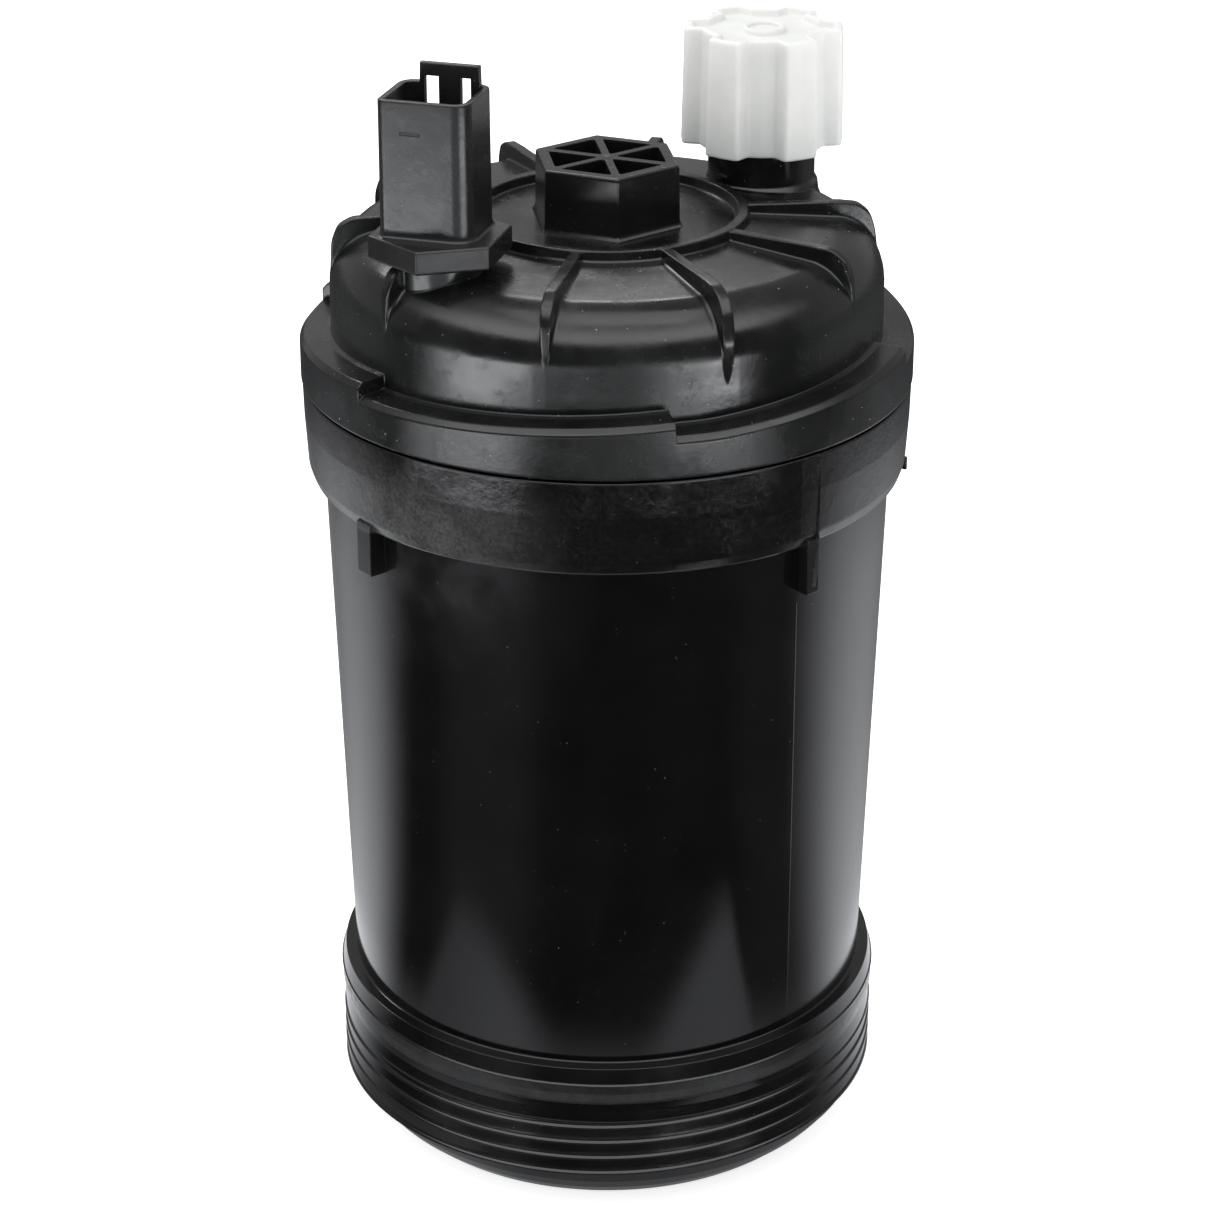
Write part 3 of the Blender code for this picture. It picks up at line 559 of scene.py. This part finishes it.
seal_profile = closed_rounded([(55.9, 30.82, 0.1), (57.75, 30.82, 0.1), (57.85, 29.2, 2.0),
                               (57.8, 27.4, 1.0), (57.3, 26.4, 0.5), (55.9, 26.4, 0.1)], 5)
finish_piece(turned("flange_ring", seal_profile, 160, loop=True), SEAL, ROOT,
             ["flange_seal"])


# ---------------------------------------------------------------- end cap
def resample(points, count):
    """count points evenly spaced along a polyline."""
    points = np.asarray(points, float)
    along = np.r_[0, np.cumsum(np.linalg.norm(np.diff(points, axis=0), axis=1))]
    at = np.linspace(0, along[-1], count)
    return np.c_[np.interp(at, along, points[:, 0]), np.interp(at, along, points[:, 1])]


def dome_rows():
    """Matching (base, crest) profile rows, from the centre out and down the wall."""
    inner = rounded([(0, 198.0), (12.0, 198.0), (20.0, 198.0), (25.75, 198.05, 0.7),
                     (26.15, 200.2, 0.3), (28.15, 200.2, 0.3), (28.55, 198.05, 0.7),
                     (33.0, 197.7)], 5)
    rows = []
    for r, z in inner:
        crest = (r, 199.95) if r > 28.2 and z < 199.95 else (r, z)
        rows.append(((r, z), crest))
    for r in np.arange(34.0, 45.1, 1.8):
        rows.append(((r, 198.05 - (r - 28.5) * 1.4 / 19.0), (r, 199.93)))
    start = math.radians(15)
    shoulder = [(45.6, 196.79), (46.6, 196.72), (47.2, 196.66), (47.6, 196.55)]
    for k in range(1, 15):
        t = start + (math.pi / 2 - start) * k / 14
        shoulder.append((47.5 + 8.1 * (math.sin(t) - math.sin(start)) / (1 - math.sin(start)),
                         186 + 10.6 * math.cos(t) / math.cos(start)))
    shoulder += [(55.62, 183.5), (55.65, 181.0)]
    crest = rounded([(45.6, 199.92), (50.6, 199.7, 3.0), (53.6, 198.3, 3.0), (55.6, 195.2, 4.0),
                     (56.5, 190.0, 4.0), (56.5, 185.0, 3.0), (56.3, 181.0)], 6)
    base = resample(shoulder, 34)
    top = resample(crest, 34)
    rows += [(tuple(b), tuple(t)) for b, t in zip(base, top)]
    rows += [((55.68, z), (55.68, z)) for z in (180.0, 178.6, 176.5, 173.5)]
    return rows


RIB_SECTION = [(0.0, 1.0), (0.55, 1.0), (0.9, 1.0), (1.03, 0.985), (1.12, 0.94), (1.17, 0.86),
               (1.21, 0.5), (1.26, 0.2), (1.33, 0.1), (1.45, 0.045), (1.65, 0.012),
               (2.0, 0.0), (2.9, 0.0)]


def make_dome():
    """The lid with its ribs in one grid: each ring of points swells where a rib crosses it."""
    points = []
    for (r, z), (cr, cz) in dome_rows():
        reach = max(r, 28.0)
        row = []
        for number, (rib, end) in enumerate(zip(RIB_ANGLES, RIB_ENDS)):
            # above its end a rib leans back into the wall and narrows to a point
            left = min(1.0, max(0.0, (z - end) / 7.5)) if r > 47.0 else 1.0
            rise, narrow = math.sin(left * math.pi / 2) ** 1.3, left ** 0.55
            section = [(-d, w) for d, w in reversed(RIB_SECTION[1:])] + RIB_SECTION
            for d, w in section:
                w *= rise
                if abs(d) < 1.7:
                    d *= 0.12 + 0.88 * narrow
                x, y = polar(r + (cr - r) * w, rib + math.degrees(math.asin(d / reach)))
                row.append((x, y, z + (cz - z) * w))
            edge = math.degrees(math.asin(RIB_SECTION[-1][0] / reach))
            after = (RIB_ANGLES[(number + 1) % len(RIB_ANGLES)] - rib) % 360.0
            for k in range(1, 8):
                x, y = polar(r, rib + edge + (after - 2 * edge) * k / 8)
                row.append((x, y, z))
        points.append(row)
    inner = [(52.8, 173.5), (52.7, 180.0), (52.6, 185.5), (51.5, 189.5), (48.5, 192.8),
             (44.5, 193.9), (30.0, 194.8), (0.0, 195.0)]
    angles = [math.atan2(x, -y) for x, y, _ in points[-1]]
    for r, z in inner:
        points.append([(r * math.sin(a), -r * math.cos(a), z) for a in angles])
    return grid_object("dome", points)


def make_flange():
    """The cap's rim: low after each step, then climbing to the next one."""
    columns = []
    for number, step in enumerate(STEP_ANGLES):
        span = (STEP_ANGLES[(number + 1) % len(STEP_ANGLES)] - step) % 360.0
        # each column's own angle, and the angle whose height it takes
        places = [(0.12, 0.12), (0.16, 0.3), *((a, a) for a in np.linspace(1.0, span - 1.0, 30)),
                  (span - 0.16, span - 0.3), (span - 0.02, span - 0.02)]
        for place, past in places:
            rim = RIM_LOW + STEP_RISE * min(1.0, max(0.0, (past - 8.0) / (span - 9.0)))
            profile = rounded([(54.3, 166.6), (54.3, rim + 1.0), (55.9, rim + 1.0, 0.5),
                               (56.6, rim + 0.75, 0.5), (61.0, rim + 0.55, 0.5),
                               (62.0, rim - 0.6, 0.9), (62.0, 166.75, 0.3), (61.4, 166.2, 0.2),
                               (56.0, 166.2)], 4)
            columns.append([(*polar(r, step + place), z) for r, z in profile])
    return grid_object("flange", np.array(columns).transpose(1, 0, 2), loop_rows=True)


def make_hex():
    """The drive boss, with six triangular pockets between its webs."""
    rows = []
    for z, grow in ((197.6, 1.0), (198.15, 0.62), (198.4, 0.3), (198.9, 0.1), (199.6, 0.0),
                    (209.7, -0.15), (210.15, -0.25), (210.4, -0.5), (210.5, -0.9)):
        rows.append((polygon(HEX_RADIUS + grow, 6, HEX_ANGLE, 0.35), z))
    block = loft("hex", rows)
    side = (HEX_RADIUS - 0.15) * math.cos(math.radians(30))
    half_web, rim = 0.85, 2.35
    reach = (side - rim - 2 * half_web) * 2 / 3
    pockets = []
    for k in range(6):
        angle = HEX_ANGLE + 30 + 60 * k
        centre = polar(2 * half_web + reach, angle)
        rows = []
        for z, grow in ((201.5, -0.5), (202.0, -0.25), (210.1, 0.0), (210.35, 0.12), (211.5, 0.5)):
            outline = polygon(reach + grow, 3, angle + 180, 0.6)
            rows.append(([(centre[0] + x, centre[1] + y) for x, y in outline], z))
        pockets.append(loft(f"pocket_{k}", rows))
    return carve(block, pockets)


def make_neck():
    """The drain's neck and the raised thread on its outside."""
    cx, cy = DRAIN_CENTRE
    outer = rounded([(8.5, 219.4), (10.4, 219.4, 0.4), (10.6, 218.2, 0.3), (10.6, 208.2, 0.3),
                     (11.0, 207.6, 0.3), (11.05, 198.3, 0.5), (11.7, 197.2, 0.5),
                     (12.0, 195.0)], 4)
    inner = [(13.0, 192.5), (9.8, 191.0), (9.8, 184.5), (8.5, 184.0), (8.5, 219.4)]
    neck = turned("neck", [*outer, *inner], 96, DRAIN_CENTRE, loop=True)
    section = [(-0.9, 10.2), (-0.35, 11.1), (0.0, 11.16), (0.35, 11.1), (0.9, 10.2)]
    steps, turns, pitch, start, fade_steps, buried = 48, 3, 3.0, 209.2, 8, 10.3
    rows = []
    count = steps * turns
    for k in range(count + 1):
        fade = min(1.0, k / fade_steps, (count - k) / fade_steps)
        row = []
        for dz, r in section:
            x, y = polar(buried + (r - buried) * fade, 360.0 * k / steps)
            row.append((cx + x, cy + y, start + pitch * k / steps + dz))
        rows.append(row)
    return neck, grid_object("neck_thread", rows, caps=True)


def make_sensor_neck():
    profile = rounded([(6.9, 199.55), (8.2, 199.55, 0.3), (8.55, 199.2, 0.2), (8.6, 194.0),
                       (8.65, 190.0), (8.6, 184.2), (6.9, 184.2), (6.9, 199.55)], 3)
    return turned("sensor_neck", profile[:-1], 96, SENSOR_CENTRE, loop=True)


dome = make_dome()
carve(dome, [cylinder("cut_a", 7.4, 180, 200.5, SENSOR_CENTRE),
             cylinder("cut_b", 9.2, 180, 199.0, DRAIN_CENTRE)])
carve(dome, [cylinder("cut_c", 14.6, 199.3, 206.0, SENSOR_CENTRE)])
spigot = turned("spigot", [(54.4, 168.0), (54.0, 166.0), (53.8, 158.4), (53.4, 158.0),
                           (51.7, 158.0), (51.3, 158.4), (51.6, 166.0), (51.6, 168.0)], 128,
                loop=True)
cap_parts = [dome, make_flange(), spigot, *make_neck(), make_sensor_neck()]
finish_piece(joined("cap_skin", *cap_parts), CAP, ROOT, ["end_cap"])
finish_piece(make_hex(), HEX, ROOT, ())
nub = turned("gate_mark", rounded([(0, 210.75), (0.7, 210.72, 0.2), (0.95, 210.4)], 3)
             + [(0.9, 209.5), (0, 209.5)], 24)
finish_piece(nub, GATE, ROOT, ())


# ---------------------------------------------------------------- sensor
def rounded_box(x0, x1, y0, y1, radii):
    """An outline from the front left corner on, with its own radius at each corner."""
    corners = [(x0, y0, radii[0]), (x1, y0, radii[1]), (x1, y1, radii[2]), (x0, y1, radii[3])]
    out = []
    for k, (x, y, radius) in enumerate(corners):
        sx, sy = (1 if x == x0 else -1), (1 if y == y0 else -1)
        centre = (x + sx * radius, y + sy * radius)
        for step in range(CORNER_POINTS):
            a = math.radians(180 + 90 * k + 90 * step / (CORNER_POINTS - 1))
            out.append((centre[0] + radius * math.cos(a), centre[1] + radius * math.sin(a)))
    return out


def shroud_outline(inset):
    """The collar's outline, and the numbers of its points that stand up as the rear tab."""
    r = [max(0.4, v - inset) for v in (1.9, 3.5, 3.0, 3.4)]
    x0, x1, y0, y1 = -10.0 + inset, 8.4 - inset, -7.3 + inset, 8.9 - inset
    base = rounded_box(x0, x1, y0, y1, r)
    front = [(x, y0) for x in np.linspace(x0 + r[0], x1 - r[1], 6)[1:-1]]
    back = [(x, y1) for x in (5.95, 5.85, 3.0, -1.0, -4.0, -5.95, -6.05)]
    before_back = 3 * CORNER_POINTS
    outline = base[:CORNER_POINTS] + front + base[CORNER_POINTS:before_back]
    tab = range(len(outline) + 1, len(outline) + len(back) - 1)
    return outline + back + base[before_back:], tab


def make_shroud():
    """The two-way plug's collar: up the outside, over the rim and down to its floor."""
    outer, tab = shroud_outline(0.0)

    def row(inset, z, rim=False, drop=0.0):
        world = local_turn(shroud_outline(inset)[0], SENSOR_CENTRE, SENSOR_TURN)
        return [(x, y, (TAB_TOP if rim and k in tab else z) - drop)
                for k, (x, y) in enumerate(world)]

    rim, floor = SHROUD_RIM, SHROUD_FLOOR
    rows = [row(-0.9, 204.5), row(-0.5, 204.75), row(-0.2, 205.1), row(-0.05, 205.7),
            row(0.0, 206.5), row(0.03, 212), row(0.08, 220), row(0.12, 228),
            row(0.12, rim, True, 0.35), row(0.22, rim, True, 0.1), row(0.4, rim, True),
            row(1.3, rim, True), row(1.5, rim, True, 0.12), row(1.6, rim, True, 0.35),
            row(1.65, 226), row(1.7, 218), row(1.75, 213), row(2.0, floor + 0.2),
            row(2.6, floor)]
    middle = local_turn([(-0.8, 0.8)] * len(outer), SENSOR_CENTRE, SENSOR_TURN)
    rows.append([(x, y, floor) for x, y in middle])
    return grid_object("shroud", rows)


def sensor_box(name, x0, x1, y0, y1, z0, z1, corner=0.25):
    """An upright box in the sensor's own turned directions."""
    outline = closed_rounded([(x0, y0, corner), (x1, y0, corner), (x1, y1, corner),
                              (x0, y1, corner)], 3)
    world = local_turn(outline, SENSOR_CENTRE, SENSOR_TURN)
    return loft(name, [(world, z0), (world, z1)])


def make_sensor_hex():
    rows = []
    for z, grow in ((199.9, -0.7), (200.0, -0.35), (200.3, -0.05), (200.6, 0.0), (204.1, 0.0),
                    (204.4, -0.05), (204.65, -0.3), (204.75, -0.7)):
        rows.append((local_turn(polygon(14.1 + grow, 6, 0.0, 0.3), SENSOR_CENTRE, SENSOR_TURN), z))
    return loft("sensor_hex", rows)


def make_stem():
    """The sensor's threaded stem, with the groove for its O-ring."""
    profile = [(0.0, 201.0), (6.2, 201.0), (6.2, 197.0), (4.9, 196.4), (4.9, 193.4), (6.1, 193.2)]
    for k in range(6):
        low = 192.6 - 1.5 * k
        profile += [(6.3, low), (6.3, low - 0.3), (5.6, low - 0.75), (5.6, low - 1.0)]
    profile += [(6.1, 183.4), (6.1, 180.9), (5.4, 180.1), (0.0, 180.0)]
    return turned("sensor_stem", profile, 64, SENSOR_CENTRE)


shroud = carve(make_shroud(), [
    sensor_box("window_a", -5.1, -2.2, 5.0, 12.0, 221.0, 232.7),
    sensor_box("window_b", 2.1, 4.2, 5.0, 12.0, 221.0, 232.7)])
mark = sensor_box("mark", -5.0, -1.3, -7.42, -7.0, 225.1, 225.5, 0.05)
sensor = joined("sensor_housing", shroud, mark, make_sensor_hex(), make_stem())
finish_piece(sensor, SENSOR, "sensor", ["sensor_body"])


# ---------------------------------------------------------------- drain knob
def knob_outline(floor, reach, half, corner=1.15, root=1.0):
    """Six lobes between rounded grooves, as points about the knob's own axis."""
    corners = []
    for k in range(6):
        middle = math.radians(LOBE_ANGLE + 60.0 * k)
        out = np.array((math.sin(middle), -math.cos(middle)))
        side = np.array((math.cos(middle), math.sin(middle)))
        foot = math.sqrt(max(0.1, floor ** 2 - (half + 0.25) ** 2))
        corners.append((*(out * foot - side * (half + 0.25)), root))
        corners.append((*(out * reach - side * (half - 0.1)), corner))
        corners.append((*(out * (reach + 0.25)), 6.0))
        corners.append((*(out * reach + side * (half - 0.1)), corner))
        corners.append((*(out * foot + side * (half + 0.25)), root))
        corners.append((*polar(floor, math.degrees(middle) + 30.0), 3.0))
    return closed_rounded(corners, 5)


def make_knob():
    """The drain knob: up its lobes, over the rim to the hub ring, and back inside."""
    def at(points):
        return [(DRAIN_CENTRE[0] + x, DRAIN_CENTRE[1] + y) for x, y in points]

    rows = []
    for z, inset in ((205.3, 0.55), (205.4, 0.25), (205.65, 0.05), (206.0, 0.0), (217.0, 0.22),
                     (228.6, 0.45), (229.1, 0.5), (229.4, 0.65), (229.55, 0.95), (229.6, 1.3),
                     (229.6, 1.9), (229.5, 2.15), (229.2, 2.3), (228.7, 2.4), (228.45, 2.6),
                     (228.4, 3.1)):
        floor, reach, half = 13.6 - inset, 16.4 - inset, 4.0 - inset * 0.55
        rows.append((at(knob_outline(floor, reach, half)), z))
    angles = [math.atan2(x - DRAIN_CENTRE[0], -(y - DRAIN_CENTRE[1])) for x, y in rows[-1][0]]

    def ring(radius, z):
        return (at([(radius * math.sin(a), -radius * math.cos(a)) for a in angles]), z)

    top = [ring(8.0, 228.35), ring(4.9, 228.35), ring(4.6, 228.5), ring(4.4, 229.1),
           ring(4.15, 229.3), ring(3.5, 229.3), ring(3.25, 229.1), ring(3.2, 228.7),
           ring(2.0, 228.6), ring(0.0, 228.6)]
    under = [ring(0.0, 226.6), ring(11.2, 226.6), ring(11.65, 226.2), ring(11.7, 207.0),
             ring(12.1, 205.6), ring(12.5, 205.3)]
    return loft("knob", [*rows, *top, *under, rows[0]], caps=False)


finish_piece(make_knob(), NYLON, "drain_valve", ["drain_knob"], sharp=40)

# ---------------------------------------------------------------- carried-over CAD nodes
LOOKS = {
    "drain_stem": INNER, "centre_tube": INNER, "inner_core": INNER, "inner_lower_plate": INNER,
    "inner_upper_plate": INNER, "lower_end_plate": INNER, "upper_end_plate": INNER,
    "retainer_plate": INNER, "sump_spacer": INNER, "outlet_grommet": RUBBER,
    "sensor_o_ring": RUBBER, "drain_o_ring_upper": RUBBER, "drain_o_ring_lower": RUBBER,
    "drain_face_seal": RUBBER, "sensor_terminal_a": BRASS, "sensor_terminal_b": BRASS,
    "sensor_probe_a": STEEL, "sensor_probe_b": STEEL,
    "outer_media": filter_paper("paper_coarse", (0.78, 0.72, 0.55), (0.6, 0.52, 0.36)),
    "inner_media": filter_paper("paper_fine", (0.86, 0.85, 0.8), (0.74, 0.72, 0.66)),
    "water_screen": woven("cloth_screen", (0.8, 0.81, 0.79), (0.5, 0.51, 0.5)),
}
for node, look in LOOKS.items():
    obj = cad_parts[node]
    obj.data.materials.clear()
    obj.data.materials.append(look)
    if node not in ("outer_media", "inner_media"):
        edge = obj.modifiers.new("Edges", "BEVEL")
        edge.width = 0.18 * MM
        edge.segments = 2
        edge.limit_method = "ANGLE"
        edge.angle_limit = math.radians(45)


# ---------------------------------------------------------------- stage, light and camera
class Level(Nodes):
    """Chains of number nodes for the floor's and the sky's brightness."""

    def span(self, source, low, high, start=0.0, end=1.0):
        """As ramp, easing in and out."""
        return self.ramp(source, low, high, start, end, "SMOOTHSTEP")

    def band(self, source, low, high, soft, start=0.0, end=1.0):
        """end between low and high, start outside, with soft edges."""
        rise = self.span(source, low - soft, low + soft)
        fall = self.span(source, high - soft, high + soft, 1.0, 0.0)
        return self.span(self.times(rise, fall), 0.0, 1.0, start, end)


def reflected_floor(g):
    """Brightness of the floor in reflections, by place: soft cards round a dark front.

    turn is the angle from the front in degrees, and reach the distance in metres.
    """
    split = g.node("ShaderNodeSeparateXYZ")
    g.link(g.node("ShaderNodeNewGeometry").outputs["Position"], split.inputs[0])
    x, y = split.outputs["X"], split.outputs["Y"]
    reach = g.math("SQRT", g.math("ADD", g.times(x, x), g.times(y, y)), 0)
    turn = g.times(g.math("ARCTAN2", x, g.times(y, -1.0)), 180 / math.pi)
    # painted reflections at the sides, standing in for a pale table beside the object, fading with
    # distance
    left = g.times(g.span(turn, -80, -107, 0, 1.2), g.span(turn, -110, -150, 1, 0.25))
    right = g.times(g.span(turn, 70, 104, 0, 1.35), g.span(turn, 104, 155, 1, 0.2))
    sides = g.times(g.math("ADD", left, right), g.span(reach, 0.30, 0.47, 1, 0.16))
    # painted reflection near the foot, standing in for a pale table there, with two lobes that
    # reach further out
    lobe_left = g.times(g.span(turn, -12, -56, 0, 0.046), g.span(turn, -56, -74, 1, 0))
    lobe_right = g.times(g.span(turn, 8, 50, 0, 0.056), g.span(turn, 45, 54, 1, 0))
    inside = g.math("SUBTRACT", reach, g.math("ADD", lobe_left, lobe_right))
    near = g.times(g.span(inside, 0.092, 0.122, 1.0, 0.0), g.span(turn, -28, -66, 0.72, 0.3),
                   g.span(turn, 40, 66, 1.0, 0.3), g.span(reach, 0.066, 0.088, 0.3, 1.0))
    # painted reflections: far bright cards for the end cap, and a dim front
    far = g.math("ADD", g.band(turn, 21, 55, 9, 0.0, 10.0), g.band(turn, -34, 24, 6, 0.0, 1.7))
    far = g.times(far, g.band(reach, 0.545, 0.84, 0.025))
    far_left = g.times(g.band(turn, -70, -31, 10, 0.0, 6.8), g.band(reach, 0.47, 0.84, 0.03))
    front = g.math("ADD", g.band(turn, -64, -28, 14, 0.02, 0.13),
                   g.band(turn, 50, 75, 10, 0, 0.05))
    total = sides
    for part in (near, far, far_left, front):
        total = g.math("ADD", total, part)
    return total


def stage_material():
    """Pale floor to the camera. Glossy rays meet reflected_floor's cards instead."""
    made = bpy.data.materials.new("floor_pale_painted_reflections")
    made.use_nodes = True
    made.node_tree.nodes.clear()
    g = Level(made.node_tree)
    diffuse = g.node("ShaderNodeBsdfDiffuse")
    diffuse.inputs["Color"].default_value = (0.9, 0.9, 0.9, 1)
    glow = g.node("ShaderNodeEmission")
    glow.inputs["Strength"].default_value = 0.72
    pale = g.node("ShaderNodeAddShader")
    g.link(diffuse.outputs[0], pale.inputs[0])
    g.link(glow.outputs[0], pale.inputs[1])
    # painted reflections: for glossy rays the floor glows by place, as bright cards round a dark
    # front
    cards = g.node("ShaderNodeEmission")
    cards.inputs["Color"].default_value = (0.945, 0.962, 1.0, 1)
    g.link(reflected_floor(g), cards.inputs["Strength"])
    mix = g.node("ShaderNodeMixShader")
    g.link(g.node("ShaderNodeLightPath").outputs["Is Glossy Ray"], mix.inputs[0])
    g.link(pale.outputs[0], mix.inputs[1])
    g.link(cards.outputs[0], mix.inputs[2])
    g.link(mix.outputs[0], g.node("ShaderNodeOutputMaterial").inputs[0])
    return made


def make_floor():
    bm = bmesh.new()
    bmesh.ops.create_circle(bm, cap_ends=True, segments=96, radius=12.0)
    mesh = bpy.data.meshes.new("floor")
    bm.to_mesh(mesh)
    bm.free()
    floor = bpy.data.objects.new("floor", mesh)
    floor.location.z = -0.0004
    bpy.context.scene.collection.objects.link(floor)
    floor.data.materials.append(stage_material())


def soft_light(name, place, aim, size, radiance):
    """An area light given by its radiance, hidden from the camera."""
    light = bpy.data.lights.new(name, "AREA")
    light.shape = "RECTANGLE"
    light.size, light.size_y = size
    light.energy = radiance * math.pi * size[0] * size[1]
    obj = bpy.data.objects.new(name, light)
    obj.location = place
    obj.rotation_euler = (Vector(aim) - Vector(place)).to_track_quat("-Z", "Y").to_euler()
    obj.visible_camera = False
    bpy.context.scene.collection.objects.link(obj)


def make_world():
    """Plain white to the camera. Glossy rays meet a bright box above a dark front, and the
    soft surfaces get an even light."""
    world = bpy.data.worlds.new("studio")
    bpy.context.scene.world = world
    world.use_nodes = True
    world.node_tree.nodes.clear()
    g = Level(world.node_tree)
    split = g.node("ShaderNodeSeparateXYZ")
    g.link(g.node("ShaderNodeTexCoord").outputs["Generated"], split.inputs[0])
    up, back = split.outputs["Z"], split.outputs["Y"]
    ahead = g.times(g.span(up, 0.46, 0.60, 0.10, 3.1), g.span(up, 0.70, 0.97, 1.0, 0.40))
    share = g.span(back, -0.30, 0.25, 1.0, 0.0)
    mirrored = g.math("ADD", g.times(ahead, share),
                      g.times(g.math("SUBTRACT", 1.0, share), 0.36))
    even = g.span(split.outputs["X"], -0.9, 0.9, 1.15, 0.75)
    path = g.node("ShaderNodeLightPath")
    glossy = path.outputs["Is Glossy Ray"]
    light = g.math("ADD", g.times(mirrored, glossy),
                   g.times(even, g.math("SUBTRACT", 1.0, glossy)))
    studio = g.node("ShaderNodeBackground")
    studio.inputs["Color"].default_value = (0.985, 1.0, 0.985, 1)
    g.link(light, studio.inputs["Strength"])
    plain = g.node("ShaderNodeBackground")
    plain.inputs["Color"].default_value = (0.97, 0.97, 0.97, 1)
    plain.inputs["Strength"].default_value = 1.0
    mix = g.node("ShaderNodeMixShader")
    g.link(path.outputs["Is Camera Ray"], mix.inputs[0])
    g.link(studio.outputs[0], mix.inputs[1])
    g.link(plain.outputs[0], mix.inputs[2])
    g.link(mix.outputs[0], g.node("ShaderNodeOutputWorld").inputs[0])


make_floor()
make_world()
soft_light("strip_back", (-0.35, 0.95, 0.98), (0.0, 0.0, 0.19), (1.0, 0.16), 7.0)
soft_light("top", (0.0, -0.10, 1.5), (0.0, 0.0, 0.15), (1.1, 0.7), 1.6)

camera_data = bpy.data.cameras.new("camera")
camera_data.sensor_width = 36.0
camera_data.lens = 101.18
camera_data.clip_start = 0.01
camera = bpy.data.objects.new("camera", camera_data)
camera.location = (0.0, -0.6511, 0.40994)
camera.rotation_euler = (math.radians(65.446), 0.0, 0.0)
bpy.context.scene.collection.objects.link(camera)
bpy.context.scene.camera = camera
bpy.context.scene.view_settings.view_transform = "Standard"
